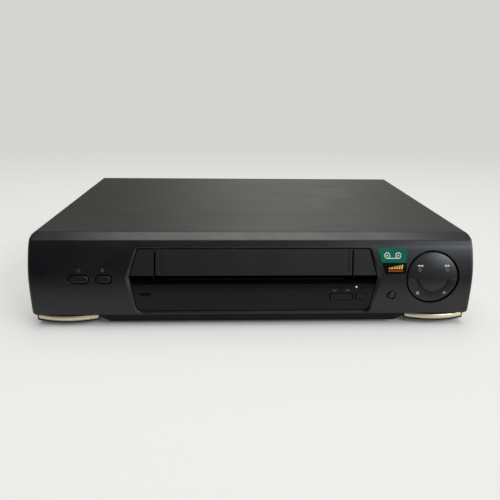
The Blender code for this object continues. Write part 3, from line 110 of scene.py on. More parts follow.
DOOR_PIN = (-15.9, 76.1)
DOOR_BOW = 0.35
STICKER_FOOT = (54.7, 127.8, 148.2)
STICKER_HEAD = (78.3, 120.4, 149.1)
STICKER_SPLIT = 65.3
SHELF_TOP = 45.9
SHELF_RIB = -16.0
RIB_HALF = 90.0
RIB_RADIUS = 0.45
TRIM_RADIUS = 75.4
TRIM_SWEEP = radians(23.0)
TRIM_LEVELS = (5.8, 10.5)
TRIM_BEND = 1.6
FOOT_X = 183.1
FOOT_ARC_CENTRE = 49.2
PAD_DEPTH = -3.0
PAN_BOTTOM = 6.0

# Camera
CAMERA_PLACE = Vector((-0.0237, -0.5825, 0.2310))
CAMERA_PITCH = radians(19.26)
CAMERA_YAW = radians(2.50)
CAMERA_ROLL = radians(0.79)
CAMERA_LENS = 34.85


def add_object(name, data):
    added = bpy.data.objects.new(name, data)
    bpy.context.scene.collection.objects.link(added)
    return added


def make_camera():
    forward = Vector((sin(CAMERA_YAW) * cos(CAMERA_PITCH), cos(CAMERA_YAW) * cos(CAMERA_PITCH),
                      -sin(CAMERA_PITCH)))
    right = Vector((cos(CAMERA_YAW), -sin(CAMERA_YAW), 0.0))
    up = right.cross(forward)
    rolled_right = cos(CAMERA_ROLL) * right + sin(CAMERA_ROLL) * up
    rolled_up = -sin(CAMERA_ROLL) * right + cos(CAMERA_ROLL) * up
    turn = Matrix((rolled_right, rolled_up, -forward)).transposed().to_4x4()
    data = bpy.data.cameras.new("camera")
    data.lens = CAMERA_LENS
    data.sensor_width = 36.0
    data.clip_start = 0.01
    camera = add_object("camera", data)
    camera.matrix_world = Matrix.Translation(CAMERA_PLACE) @ turn
    bpy.context.scene.camera = camera


# Making and joining solids

def solid(points, faces):
    mesh = bpy.data.meshes.new("piece")
    mesh.from_pydata([Vector(point) * MM for point in points], [], faces)
    work = bmesh.new()
    work.from_mesh(mesh)
    bmesh.ops.recalc_face_normals(work, faces=work.faces)
    work.to_mesh(mesh)
    work.free()
    return add_object("piece", mesh)


def loft(rings, closed=False):
    """A skin through rings of points, capped at both ends or joined into a loop."""
    count = len(rings[0])
    points = [point for ring in rings for point in ring]
    faces = []
    for index in range(len(rings) if closed else len(rings) - 1):
        here = index * count
        there = (index + 1) % len(rings) * count
        for i in range(count):
            j = (i + 1) % count
            faces.append((here + i, here + j, there + j, there + i))
    if not closed:
        faces.append(tuple(range(count)))
        faces.append(tuple(range(len(points) - count, len(points))))
    return solid(points, faces)


def plate(outline, axis, low, high):
    """An outline drawn across an axis, thickened along it from low to high."""
    def place(a, b, height):
        return {"X": (height, a, b), "Y": (a, height, b), "Z": (a, b, height)}[axis]
    return loft([[place(a, b, height) for a, b in outline] for height in (low, high)])


def turned(profile, centre, axis=(0, 0, 1), steps=48, closed=False):
    """A profile of (radius, height) points turned about an axis."""
    turn = Vector((0, 0, 1)).rotation_difference(Vector(axis)).to_matrix()
    angles = [2 * pi * step / steps for step in range(steps)]
    rings = [[Vector(centre) + turn @ Vector((radius * cos(angle), radius * sin(angle), height))
              for angle in angles] for radius, height in profile]
    return loft(rings, closed)


def rod(start, end, radius, steps=24):
    run = Vector(end) - Vector(start)
    return turned([(radius, 0.0), (radius, run.length)], start, run, steps)


def combine(piece, tool, operation):
    """Apply a Boolean to a piece and clear its tool away."""
    modifier = piece.modifiers.new("combine", "BOOLEAN")
    modifier.operation = operation
    modifier.solver = "EXACT"
    modifier.object = tool
    shaped = piece.evaluated_get(bpy.context.evaluated_depsgraph_get())
    mesh = bpy.data.meshes.new_from_object(shaped)
    piece.modifiers.clear()
    spent = [piece.data, tool.data]
    piece.data = mesh
    bpy.data.objects.remove(tool)
    for old in spent:
        bpy.data.meshes.remove(old)
    return piece


def fuse(piece, *others):
    for other in others:
        combine(piece, other, "UNION")
    return piece


def carve(piece, *cutters):
    for cutter in cutters:
        combine(piece, cutter, "DIFFERENCE")
    return piece


def clip(piece, other):
    return combine(piece, other, "INTERSECT")


def group(pieces):
    """One object that holds several pieces as they are."""
    work = bmesh.new()
    for piece in pieces:
        mesh = piece.data
        work.from_mesh(mesh)
        bpy.data.objects.remove(piece)
        bpy.data.meshes.remove(mesh)
    mesh = bpy.data.meshes.new("group")
    work.to_mesh(mesh)
    work.free()
    return add_object("group", mesh)


def placed(piece, matrix):
    """A piece moved by a matrix whose lengths are in millimetres."""
    scale = Matrix.Scale(MM, 4)
    piece.data.transform(scale @ matrix @ scale.inverted())
    return piece


def rounded(corners, steps=6):
    """An outline from (a, b, radius) corners, with an arc at each corner that has a radius."""
    outline = []
    for index, (a, b, radius) in enumerate(corners):
        here = Vector((a, b))
        if radius == 0:
            outline.append((a, b))
            continue
        back = (Vector(corners[index - 1][:2]) - here).normalized()
        ahead = (Vector(corners[(index + 1) % len(corners)][:2]) - here).normalized()
        half = acos(max(-1.0, min(1.0, back.dot(ahead)))) / 2
        centre = here + (back + ahead).normalized() * radius / sin(half)
        start = here + back * radius / tan(half) - centre
        end = here + ahead * radius / tan(half) - centre
        first = atan2(start.y, start.x)
        sweep = (atan2(end.y, end.x) - first + pi) % (2 * pi) - pi
        for step in range(steps + 1):
            angle = first + sweep * step / steps
            outline.append((centre.x + radius * cos(angle), centre.y + radius * sin(angle)))
    return outline


def rectangle(low_a, high_a, low_b, high_b):
    return [(low_a, low_b), (high_a, low_b), (high_a, high_b), (low_a, high_b)]


def rounded_rectangle(low_a, high_a, low_b, high_b, radius, steps=6):
    return rounded([(a, b, radius) for a, b in rectangle(low_a, high_a, low_b, high_b)], steps)


def mirrored(corners):
    return [(-a, b, radius) for a, b, radius in reversed(corners)]


def eased(line, share=0.42, steps=5):
    """A line whose corners are drawn out into curves that reach a share of each side."""
    points = [line[0]]
    for back, here, ahead in zip(line, line[1:], line[2:]):
        corner = Vector(here)
        start, end = corner.lerp(Vector(back), share), corner.lerp(Vector(ahead), share)
        for step in range(steps + 1):
            t = step / steps
            points.append(tuple(start * (1 - t) ** 2 + corner * 2 * t * (1 - t) + end * t ** 2))
    return points + [line[-1]]


def parallel(line, distance):
    """A line of points moved sideways to its left, with its corners mitred."""
    moved = []
    for index, point in enumerate(line):
        here = Vector(point)
        normals = []
        if index > 0:
            run = (here - Vector(line[index - 1])).normalized()
            normals.append(Vector((-run.y, run.x)))
        if index < len(line) - 1:
            run = (Vector(line[index + 1]) - here).normalized()
            normals.append(Vector((-run.y, run.x)))
        mitre = sum(normals, Vector((0, 0))).normalized()
        moved.append(tuple(here + mitre * distance / mitre.dot(normals[0])))
    return moved


# Front moulding

SMOOTH_FACE = eased(FACE)


def face_depth(height):
    """Depth of the front face at a height."""
    for (depth_a, high), (depth_b, low) in zip(SMOOTH_FACE, SMOOTH_FACE[1:]):
        if low <= height <= high:
            return depth_b + (depth_a - depth_b) * (height - low) / (high - low)
    return FACE[0][0] if height > FACE[0][1] else FACE[-1][0]


def face_section(inset, back_depth):
    """Section of everything behind the face, a given distance inside it."""
    line = parallel(SMOOTH_FACE + [(FACE[0][0], FACE_FOOT)], inset)

    def reach(end, inner):
        share = (back_depth - inner[0]) / (end[0] - inner[0])
        return (back_depth, inner[1] + (end[1] - inner[1]) * share)
    section = [reach(line[0], line[1])] + line[1:-1] + [reach(line[-1], line[-2])]
    return [(FOLD + depth, height) for depth, height in section]


def behind_face(half_width, inset, back_depth, centre=0.0):
    return plate(face_section(inset, back_depth), "X", centre - half_width, centre + half_width)


def corner_cutter(side, half_width, line, radius, steps=8):
    """What rounds a front corner, following the face from top to bottom."""
    line = [(line[0][0] + 2.0, line[0][1] + 2.0)] + line[1:-1] + [(line[-1][0], line[-1][1] - 4.0)]
    rings = []
    for depth, height in line:
        y = FOLD + depth
        bend = [(half_width - radius + radius * cos(angle), y + radius - radius * sin(angle))
                for angle in (pi / 2 * step / steps for step in range(steps + 1))]
        ring = [(half_width + 3.0, y - 3.0), (half_width + 3.0, y + radius)] + bend
        ring += [(half_width - radius, y - 3.0)]
        rings.append([(side * x, depth_y, height) for x, depth_y in ring])
    return loft(rings)


def rounded_body(half_width, inset, back_depth, radius):
    """Everything behind the face, a given distance inside it, with its front corners rounded."""
    body = behind_face(half_width, inset, back_depth)
    line = parallel(SMOOTH_FACE, inset)
    return carve(body, *(corner_cutter(side, half_width, line, radius) for side in (-1, 1)))


def recess_half(height):
    """Half width of the recess at a height."""
    for (half_a, high), (half_b, low) in zip(RECESS, RECESS[1:]):
        if low <= height <= high:
            return half_b + (half_a - half_b) * (height - low) / (high - low)
    return RECESS[-1][0]


def recess_outline(corners, grow=0.0, radii=RECESS_RADII, pieces=7):
    """The six-sided outline, with points along its sides so that it can follow the face."""
    def along(first, second):
        run = (second[0] - first[0], second[1] - first[1])
        return [(first[0] + run[0] * n / pieces, first[1] + run[1] * n / pieces, 0) for n in range(1, pieces)]
    top, middle, foot = corners
    half = [(top[0] + grow, top[1] + grow, radii[0] + max(grow, -2.0))] + along(top, middle)
    half += [(middle[0] + grow, middle[1], radii[1])] + along(middle, foot)[:-1]
    half += [(foot[0] + grow, foot[1] - grow, radii[2] + grow)]
    half = [(a + (grow if radius == 0 else 0), b, radius) for a, b, radius in half]
    return rounded(half + mirrored(half))


def bevel_drop(inner, edge):
    """How far the recess's soft edge drops from its outer line, at the edge, to the recess's wall."""
    (x, z), turn = inner, RECESS[1][1]
    reach = hypot(edge[0] - x, edge[1] - z)
    top_slope, side_slope, foot_slope = BEVEL_SLOPES
    if z < turn:
        first, last = BEVEL_ENDS
        near_end = max(0.0, min(1.0, (abs(x) - first) / (last - first)))
        below = max(0.0, min(1.0, (turn - z) / BEVEL_TURN))
        slope = foot_slope + (1.0 + (side_slope - 1.0) * below - foot_slope) * near_end
        return min(BEVEL_DEPTH, slope * reach)
    above = max(0.0, min(1.0, (z - turn) / (RECESS[0][1] - turn)))
    turn_slope = BEVEL_DEPTH / hypot(RECESS_EDGE[1][0] - RECESS[1][0], RECESS_EDGE[1][1] - turn)
    return (turn_slope + (top_slope - turn_slope) * above ** 0.5) * reach


def recess_bevel():
    """The loop that cuts the soft edge of the recess: shallow above its side corners, deep below them."""
    rings = []
    inners, edges = recess_outline(RECESS), recess_outline(RECESS_EDGE, 0.0, EDGE_RADII)
    for inner, edge, (x, z) in zip(inners, edges, recess_outline(RECESS, -3.0)):
        front = FOLD + face_depth(inner[1])
        low = Vector((inner[0], front + bevel_drop(inner, edge), inner[1]))
        rim = Vector((edge[0], FOLD + face_depth(edge[1]), edge[1]))
        rings.append([low, low + (rim - low) * 1.3, (x, front - BEVEL_DEPTH, z), (x, low.y, z)])
    return loft(rings, closed=True)


def disc_frame(offset=(0.0, 0.0)):
    """Places a piece drawn about the disc's axis: across, up its slope, and out."""
    lean = Matrix(((1, 0, 0, 0), (0, sin(DISC_LEAN), -cos(DISC_LEAN), 0),
                   (0, cos(DISC_LEAN), sin(DISC_LEAN), 0), (0, 0, 0, 1)))
    return Matrix.Translation(DISC_CENTRE) @ lean @ Matrix.Translation((*offset, 0.0))


def diagonal_rod(slope, start, end, radius):
    way = Vector((cos(radians(45)), slope * sin(radians(45)), 0))
    level = Vector((0, 0, PIVOT_LEVEL))
    return rod(level + way * start, level + way * end, radius, 16)


def pill_cutter(ends):
    """A key's round-ended hole, its lip broken by a small bevel."""
    low, high = PILL
    rings = []
    for grow, inwards in ((0.0, 12.0), (0.0, 0.4), (0.4, -0.1), (0.4, -4.0)):
        outline = rounded_rectangle(ends[0] - grow, ends[1] + grow, low - grow, high + grow,
                                    PILL_CORNER + grow, 8)
        rings.append([(x, FOLD + face_depth(z) + inwards, z) for x, z in outline])
    return loft(rings)


def corner_shaver(side, level, radius, way):
    """What rounds a corner of the front at a level: an upper one with way 1, a lower one with way -1."""
    x, z = HALF_WIDTH - radius, level - way * radius
    bend = arc((x, z), radius, 0.0, way * 90.0, 10)
    outline = [(HALF_WIDTH + 1.0, z)] + bend + [(x, level + way), (HALF_WIDTH + 1.0, level + way)]
    return plate([(side * a, b) for a, b in outline], "Y", FOLD - 40.0, FOLD + 1.0)


SKIRT_SECTION = [(-25.5, 14.5), (-26.2, 13.0), (-22.5, 4.0), (-20.3, 4.0), (-23.6, 13.0), (-23.4, 14.5)]
SKIRT_END = [(151.9, 15.0), (151.8, 12.4), (150.6, 10.2), (147.6, 7.6), (144.2, 5.6), (141.5, 3.0)]


def make_front_skirt():
    """The leaning strip below the front, its ends drawn in towards the feet."""
    section = [(FOLD + depth, height) for depth, height in SKIRT_SECTION]
    front = SKIRT_END + [(-x, z) for x, z in reversed(SKIRT_END)]
    skirt = clip(plate(section, "X", -160.0, 160.0), plate(front, "Y", FOLD - 40.0, FOLD))
    skirt.name = "front_skirt"
    dress(skirt, LOOKS["matt_black"])
    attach(skirt, BODY_OF["front_fascia"])


LEDGE_TOP = WINDOW_TOP - 1.0
LEDGE_DEPTHS = (-22.9, -21.3)


def window_ledge():
    """The narrow ledge around the window's sides and foot that it rests against."""
    def outline(grow, top, radius):
        half = [(recess_half(LEDGE_TOP) + grow, top, 0), (RECESS[2][0] + grow, RECESS[2][1] - grow, radius)]
        return rounded(half + mirrored(half))
    ledge = plate(outline(0.6, LEDGE_TOP, 7.0), "Y", *(FOLD + depth for depth in LEDGE_DEPTHS))
    return carve(ledge, plate(outline(-1.8, LEDGE_TOP + 1.0, 6.0), "Y", FOLD - 30.0, FOLD - 15.0))


def pill_channel():
    """What sinks a shallow channel into the face, from one oval key to the other."""
    outline = rectangle(POWER[1] - 3.0, EJECT[0] + 3.0, PILL[0] + 0.2, PILL[1] - 0.2)
    channel = plate(outline, "Y", FOLD - 35.0, FOLD - 15.0)
    return carve(channel, behind_face(20.0, 0.5, 5.0, (POWER[1] + EJECT[0]) / 2))


WELL_WALL = 1.6
POST_RADIUS = 2.9
PIVOT_ROD = 0.8
TIMER_HOLE = [(5.7, -1.0), (4.0, 0.7), (4.0, 6.0)]


def make_front_fascia():
    """The front shell with its recess, window ledge, disc well and pivot post, and the keys' holes."""
    fascia = rounded_body(HALF_WIDTH, 0.0, -0.3, CORNER)
    carve(fascia, rounded_body(HALF_WIDTH - WALL, WALL, 5.0, CORNER - WALL))
    plug = plate(recess_outline(RECESS, RETURN_WALL), "Y", FOLD - 30.0, FOLD + RETURN_BACK)
    well_outside = [(WELL_RADIUS + WELL_WALL, WELL_FLOOR - WELL_WALL), (WELL_RADIUS + WELL_WALL, 8.0)]
    well = placed(turned(well_outside, (0, 0, 0), steps=72), disc_frame())
    fuse(fascia, clip(plug, behind_face(HALF_WIDTH - 20, 1.0, 5.0)),
         clip(well, behind_face(40.0, 1.0, 5.0, DISC_CENTRE[0])))
    carve(fascia, plate(recess_outline(RECESS), "Y", FOLD - 45.0, FOLD + 5.0), recess_bevel())
    fuse(fascia, window_ledge())
    well_cut = turned([(WELL_RADIUS, WELL_FLOOR), (WELL_RADIUS, 12.0)], (0, 0, 0), steps=96)
    carve(fascia, placed(well_cut, disc_frame()))
    post = rod((0, 0, WELL_FLOOR - 0.4), (0, 0, PIVOT_LEVEL + 1.3), POST_RADIUS)
    fuse(fascia, placed(fuse(post, diagonal_rod(1, -4.9, 4.9, PIVOT_ROD)), disc_frame()))
    timer = turned(TIMER_HOLE, (TIMER[0], FOLD - 27.0, TIMER[1]), (0, 1, 0), 40)
    carve(fascia, group([pill_cutter(POWER), pill_cutter(EJECT), timer]), pill_channel())
    for side in (-1, 1):
        carve(fascia, corner_shaver(side, FACE_FOOT, LOWER_CORNER, -1),
              corner_shaver(side, FACE[0][1], UPPER_CORNER, 1))
    even_shading(stand_for("front_fascia", fascia, angle=24))


# Cassette door

def door_depth(height):
    return DOOR_PLANE[0] - (DOOR_PLANE[1] - height) * tan(DOOR_LEAN)


STRIP_LINE = 91.55
GROOVE = ((0.9, -2.0), (0.9, -0.35), (0.35, 0.45))
PIN_ENDS = (94.5, 98.3)
PIN_RADIUS = 0.8


def make_cassette_door():
    """The door: a gently bowed front, rounded edges, a strip at each end and two hinge pins."""
    steps = 12
    front = []
    for step in range(steps + 1):
        share = step / steps
        height = DOOR_TOP + (DOOR_FOOT - DOOR_TOP) * share
        front.append((door_depth(height) - DOOR_BOW * 4 * share * (1 - share), height))
    run_in = (DOOR_THICK * cos(DOOR_LEAN), -DOOR_THICK * sin(DOOR_LEAN))
    back = [(door_depth(DOOR_FOOT) + run_in[0] + 0.2, DOOR_FOOT),
            (door_depth(DOOR_TOP) + run_in[0], DOOR_TOP + run_in[1])]
    door = plate([(FOLD + depth, height) for depth, height in front + back], "X", -DOOR_HALF, DOOR_HALF)
    grooves = []
    for side in (-1, 1):
        rings = []
        for spread, back in GROOVE:
            outline = rectangle(side * STRIP_LINE - spread, side * STRIP_LINE + spread,
                                DOOR_FOOT + 2.4 - spread, DOOR_TOP - 2.0 + spread)
            rings.append([(x, FOLD + door_depth(z) + back, z) for x, z in outline])
        grooves.append(loft(rings))
    carve(door, group(grooves))
    soften(door, 0.45, 3)
    pins = [rod(*((side * x, FOLD + DOOR_PIN[0], DOOR_PIN[1]) for x in PIN_ENDS), PIN_RADIUS)
            for side in (-1, 1)]
    stand_for("cassette_door", door)
    hinge = group(pins)
    hinge.name = "door_pins"
    dress(hinge, LOOKS["mouth_plastic"])
    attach(hinge, BODY_OF["cassette_door"])


# Slot, window, keys and feet

def make_slot_surround():
    """The wings' faces in the door's plastic; the shelf and walls behind and below them in a flat black
    darker than their plastic: painted shade of the slot.
    """
    rib = rod(*((x, FOLD + SHELF_RIB, SHELF_TOP + 0.1) for x in (-RIB_HALF, RIB_HALF)), RIB_RADIUS)
    mouth = stand_for("slot_surround", soften(fuse(merged_copy("slot_surround"), rib), 0.45))
    # faces off the wings and rib take a black darker than the plastic: painted shade of the slot
    mouth.data.materials.append(LOOKS["mouth_black"].material)
    for face in mouth.data.polygons:
        x, y, z = face.center / MM
        on_wing = face.normal.y < -0.5 and z > DOOR_FOOT and abs(y - FOLD - door_depth(z)) < 0.4
        on_rib = abs(x) < RIB_HALF and abs(y - FOLD - SHELF_RIB) < 0.5 and z < SHELF_TOP + 0.8
        face.material_index = 0 if on_wing or on_rib else 1


def window_depth(height):
    """The window's face, which leans back a little towards its top."""
    share = max(0.0, (height - WINDOW_FOOT) / (WINDOW_TOP - WINDOW_FOOT))
    return WINDOW_FRONT + WINDOW_BOW * share ** 6


def make_display_window():
    half = [(recess_half(WINDOW_TOP) - 1.0, WINDOW_TOP, 1.0), (RECESS[2][0] - 1.0, WINDOW_FOOT, 6.2)]
    window = plate(rounded(half + mirrored(half)), "Y", FOLD + WINDOW_FRONT - 1.0, FOLD + WINDOW_BACK)
    levels = [WINDOW_FOOT - 1.0 + step * (WINDOW_TOP - WINDOW_FOOT + 2.0) / 24 for step in range(25)]
    section = [(FOLD + window_depth(height), height) for height in levels]
    section += [(FOLD + WINDOW_BACK + 1.0, levels[-1]), (FOLD + WINDOW_BACK + 1.0, levels[0])]
    clip(window, plate(section, "X", -125.0, 125.0))
    for (left, right, low, high), radius in ((CHANNEL, 1.4), (RECORD, 1.4), (DIRECT, 0.8)):
        outline = rounded_rectangle(left - KEY_GAP, right + KEY_GAP, low - KEY_GAP, high + KEY_GAP, radius)
        carve(window, plate(outline, "Y", FOLD - 30.0, FOLD - 20.0))
    stand_for("display_window", soften(window, 0.25))


def make_pills():
    """The two oval keys: faces that lean back, with full round edges, on their own flanges and stems."""
    low, high = PILL
    middle = (low + high) / 2
    for node, ends in (("power_button", POWER), ("eject_button", EJECT)):
        rings = []
        for step in range(7):
            angle = pi / 2 * step / 6
            inset = PILL_GAP + PILL_ROUND * (1 - sin(angle))
            outline = rounded_rectangle(ends[0] + inset, ends[1] - inset, low + inset, high - inset,
                                        PILL_CORNER - inset, 10)
            back = PILL_FRONT + PILL_ROUND * (1 - cos(angle))
            rings.append([(x, FOLD + back + (z - middle) * tan(PILL_LEAN), z) for x, z in outline])
        rings.append([(x, FOLD + FLANGE_FRONT + 0.3, z) for x, y, z in rings[-1]])
        rear = plate(rectangle(ends[0] - 5.0, ends[1] + 5.0, low - 5.0, high + 5.0), "Y",
                     FOLD - 40.0, FOLD + FLANGE_FRONT - 0.05)
        stand_for(node, fuse(carve(merged_copy(node), rear), loft(rings)), angle=30)


def foot_arc(side, radius, angle):
    return (side * FOOT_X + radius * sin(angle), FOLD + FOOT_ARC_CENTRE - radius * cos(angle))


def foot_layer(side, radius, outer, inner, back_depth, levels, steps=32):
    """A layer of a front foot: a bow in front and a straight back, with its reach to each side."""
    first, last = -asin(inner / radius), asin(outer / radius)
    bow = [foot_arc(side, radius, side * (first + (last - first) * step / steps))
           for step in range(steps + 1)]
    back = [(side * (FOOT_X + outer), FOLD + back_depth), (side * (FOOT_X - inner), FOLD + back_depth)]
    return plate(bow + back, "Z", *levels)


def bow_band(side, outer, inner, section, steps=40, bend=0.0):
    """A section of (radius, level) points swept along the foot's bow, by its angles to each side.

    With a bend its inner end curls back behind the bow, as far as the section's last points let it.
    """
    sweep = [(-inner + (outer + inner) * step / steps, 0.0) for step in range(steps + 1)]
    if bend:
        turns = [radians(90 - 15 * step) for step in range(6)]
        sweep = [(-inner - bend * sin(turn) / TRIM_RADIUS, bend * (1 - cos(turn))) for turn in turns] + sweep
    back = section[-1][0]
    return loft([[foot_arc(side, max(radius - drop, back), side * angle) + (level,)
                  for radius, level in section] for angle, drop in sweep])


TRIM_DEPTH = 2.6
TRIM_CROWN = 0.8
FOOT_REACH = (31.0, 29.4)
BASE_REACH = (29.3, 29.3)
NECK_REACH = (28.2, 28.2)
SOLE = [(10.4, 0.0), (11.0, 0.6), (11.0, 5.0)]


def make_front_foot(side):
    """A black foot with a thin lip below and outside the groove for its bright band."""
    low, high = TRIM_LEVELS
    foot = foot_layer(side, TRIM_RADIUS - 0.1, *FOOT_REACH, -1.0, (4.5, high + 0.2))
    groove = rectangle(TRIM_RADIUS - TRIM_DEPTH - 0.3, TRIM_RADIUS + 2.0, low - 0.2, high + 3.0)
    carve(foot, bow_band(side, TRIM_SWEEP + radians(0.25), TRIM_SWEEP + radians(2.0), groove))
    return fuse(foot, foot_layer(side, TRIM_RADIUS - 2.6, *BASE_REACH, 9.0, (4.4, PAN_BOTTOM - 0.3)),
                foot_layer(side, TRIM_RADIUS - 5.0, *NECK_REACH, -1.0, (9.0, FACE_FOOT - 0.3)),
                turned(SOLE, (side * FOOT_X, FOLD + PAD_DEPTH, 0)))


def make_foot_trim(side):
    """The bright band: crowned, and curled in at its inner end."""
    low, high = TRIM_LEVELS
    middle, half = (low + high) / 2, (high - low) / 2
    crown = [(TRIM_RADIUS - TRIM_CROWN * abs(share) ** 2.5, middle + half * share)
             for share in (-1.0, -0.9, -0.7, -0.4, 0.0, 0.4, 0.7, 0.9, 1.0)]
    band = crown + [(TRIM_RADIUS - TRIM_DEPTH, high), (TRIM_RADIUS - TRIM_DEPTH, low)]
    return bow_band(side, TRIM_SWEEP, TRIM_SWEEP - radians(1.0), band, 60, TRIM_BEND)


def make_front_feet():
    for name, side in (("left", -1), ("right", 1)):
        stand_for("front_foot_" + name, soften(make_front_foot(side), 0.2))
        stand_for("foot_trim_" + name, even_shading(make_foot_trim(side)))


# Transport disc

def face_level(up):
    """How far the face stands out from the disc's plane, at a distance up its slope."""
    level = 0.0
    for _ in range(12):
        height = DISC_CENTRE[2] + up * cos(DISC_LEAN) + level * sin(DISC_LEAN)
        depth = DISC_CENTRE[1] - FOLD + up * sin(DISC_LEAN) - level * cos(DISC_LEAN)
        level += (depth - face_depth(height)) * cos(DISC_LEAN)
    return level


def disc_point(radius, angle, lower=0.0):
    """A point on the disc's front: a shallow dome with a scoop below its middle tongue."""
    across, up = radius * cos(angle), radius * sin(angle)
    level = face_level(up) + DISC_PROUD - DOME_CURVE * radius ** 2
    below = max(0.0, min(1.0, (SCOOP_TOP - sin(angle)) / 0.03))
    if radius > TONGUE_RADIUS:
        run = DISC_RADIUS - 1.0 - TONGUE_RADIUS - SCOOP_WALL
        outwards = max(0.0, (radius - TONGUE_RADIUS - SCOOP_WALL) / run)
        step = min(1.0, (radius - TONGUE_RADIUS) / SCOOP_WALL)
        level -= SCOOP_DEPTH * below * step * step * (3.0 - 2.0 * step) * max(0.0, 1.0 - outwards) ** 1.2
    return (across, up, level - lower)


DISC_STEPS = 144
DISC_RIM = ((0.0, 0.75), (0.08, 0.45), (0.28, 0.2), (0.55, 0.06), (0.9, 0.0))
DISC_REAR = -1.8
HUB = (5.8, 7.6)
PAD_ORBIT = 18.0
PAD_RADIUS = 2.0


def make_transport_disc():
    """The disc with its rounded rim, and the hub, pivot rods and switch pads behind it."""
    angles = [2 * pi * step / DISC_STEPS for step in range(DISC_STEPS)]
    rings = [[(DISC_RADIUS * cos(angle), DISC_RADIUS * sin(angle), DISC_REAR - 0.4) for angle in angles]]
    for radius, lower in DISC_RIM:
        rings.append([disc_point(DISC_RADIUS - radius, angle, lower) for angle in angles])
    radii = [DISC_RADIUS - 1.5 - n * (DISC_RADIUS - TONGUE_RADIUS - 4.0) / 9 for n in range(10)]
    radii += [TONGUE_RADIUS + part * SCOOP_WALL for part in (1.3, 1.0, 0.8, 0.6, 0.4, 0.2, 0.0)]
    radii += [TONGUE_RADIUS - 0.4, TONGUE_RADIUS - 1.2, 10.0, 7.5, 5.0, 2.5, 0.8]
    rings += [[disc_point(radius, angle) for angle in angles] for radius in radii]
    disc = placed(loft(rings), disc_frame(DISC_SIT))
    hub = turned(rectangle(*HUB, PIVOT_LEVEL - 1.2, DISC_REAR), (0, 0, 0), closed=True)
    fuse(hub, diagonal_rod(-1, 3.6, 6.6, PIVOT_ROD), diagonal_rod(-1, -6.6, -3.6, PIVOT_ROD))
    reach = PAD_ORBIT * cos(radians(45))
    pads = [rod((a * reach, b * reach, -3.4), (a * reach, b * reach, DISC_REAR), PAD_RADIUS, 16)
            for a in (-1, 1) for b in (-1, 1)]
    fuse(disc, placed(hub, disc_frame()), placed(group(pads), disc_frame()))
    stand_for("transport_disc", disc, angle=40)


# Printed marks

def stroke(line, width):
    """The outline of a line drawn with a given width."""
    return parallel(line, width / 2) + parallel(line, -width / 2)[::-1]


def arc(centre, radius, first, last, steps=24):
    """Points along an arc, its angles in degrees from the right."""
    angles = [radians(first + (last - first) * step / steps) for step in range(steps + 1)]
    return [(centre[0] + radius * cos(angle), centre[1] + radius * sin(angle)) for angle in angles]


def round_dot(centre, radius):
    return arc(centre, radius, 0.0, 360.0)[:-1]


def triangle(left, right, middle, half):
    """A triangle that points from its left end to its right end, which may lie the other way."""
    return [(left, middle - half), (right, middle), (left, middle + half)]


def on_front(across, height, lift):
    return (across, FOLD + face_depth(height) - lift, height)


def on_window(across, height, lift):
    return (across, FOLD + window_depth(height) - lift, height)


def on_disc(across, up, lift):
    return tuple(disc_frame(DISC_SIT) @ Vector(disc_point(hypot(across, up), atan2(up, across), -lift)))


def printed(name, outlines, surface, look, node, lift=0.05, sink=0.2):
    """Marks that stand a hair proud of the surface of the piece that carries them."""
    marks = [loft([[surface(a, b, height) for a, b in outline] for height in (-sink, lift)])
             for outline in outlines]
    piece = group(marks)
    piece.name = name
    piece.data.name = name
    dress(piece, look)
    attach(piece, BODY_OF[node])


MARK_WIDTH = 0.42
POWER_MARK = (-167.6, 58.8)
EJECT_MARK = (-145.4, 57.6)
DOWN_MARK = (79.2, 36.8)
UP_MARK = (92.0, 38.6)
RECORD_MARK = (100.6, 40.9)
ARROWS = ((11.4, 14.0), (14.0, 16.6), (-10.6, -13.3), (-13.3, -16.0))
ARROW_LEVEL = 11.7
ARROW_HALF = 1.1


def chevron(tip, rise):
    return stroke([(tip[0] - 2.0, tip[1] + rise), tip, (tip[0] + 2.0, tip[1] + rise)], MARK_WIDTH)


def make_marks():
    """Plain symbols: power, eject, record, channel down and up, and the transport disc's own."""
    x, z = POWER_MARK
    power = [stroke(arc(POWER_MARK, 1.35, 125.0, 415.0), MARK_WIDTH),
             stroke([(x, z + 0.1), (x, z + 1.9)], MARK_WIDTH)]
    x, z = EJECT_MARK
    eject = [[(x - 1.8, z + 1.3), (x + 1.8, z + 1.3), (x, z + 3.2)], rectangle(x - 1.8, x + 1.8, z, z + 0.7)]
    printed("key_symbols", power + eject, on_front, LOOKS["print_grey"], "front_fascia")
    channel = [chevron(DOWN_MARK, 1.9), chevron(UP_MARK, -1.9)]
    printed("window_symbols", channel, on_window, LOOKS["print_dim"], "display_window")
    printed("record_dot", [round_dot(RECORD_MARK, 1.0)], on_window, LOOKS["print_white"], "display_window")
    arrows = [triangle(*ends, ARROW_LEVEL, ARROW_HALF) for ends in ARROWS]
    rings = [stroke(arc((side * 13.6, 8.0), 1.3, 0.0, 352.0), 0.3) for side in (-1, 1)]
    stop, play = rectangle(-14.9, -12.1, -17.4, -14.6), triangle(12.2, 15.9, -15.8, 1.5)
    printed("disc_symbols", arrows, on_disc, LOOKS["print_white"], "transport_disc")
    printed("disc_lower_symbols", rings + [stop, play], on_disc, LOOKS["print_pale"], "transport_disc")


STICKER_THICK = 0.20
REELS = (129.6, 140.4)
REEL_LEVEL = 71.9
BAR_FOOT = (130.9, 59.4)
BAR_STEP = 2.4
BAR_LEAN = 0.25


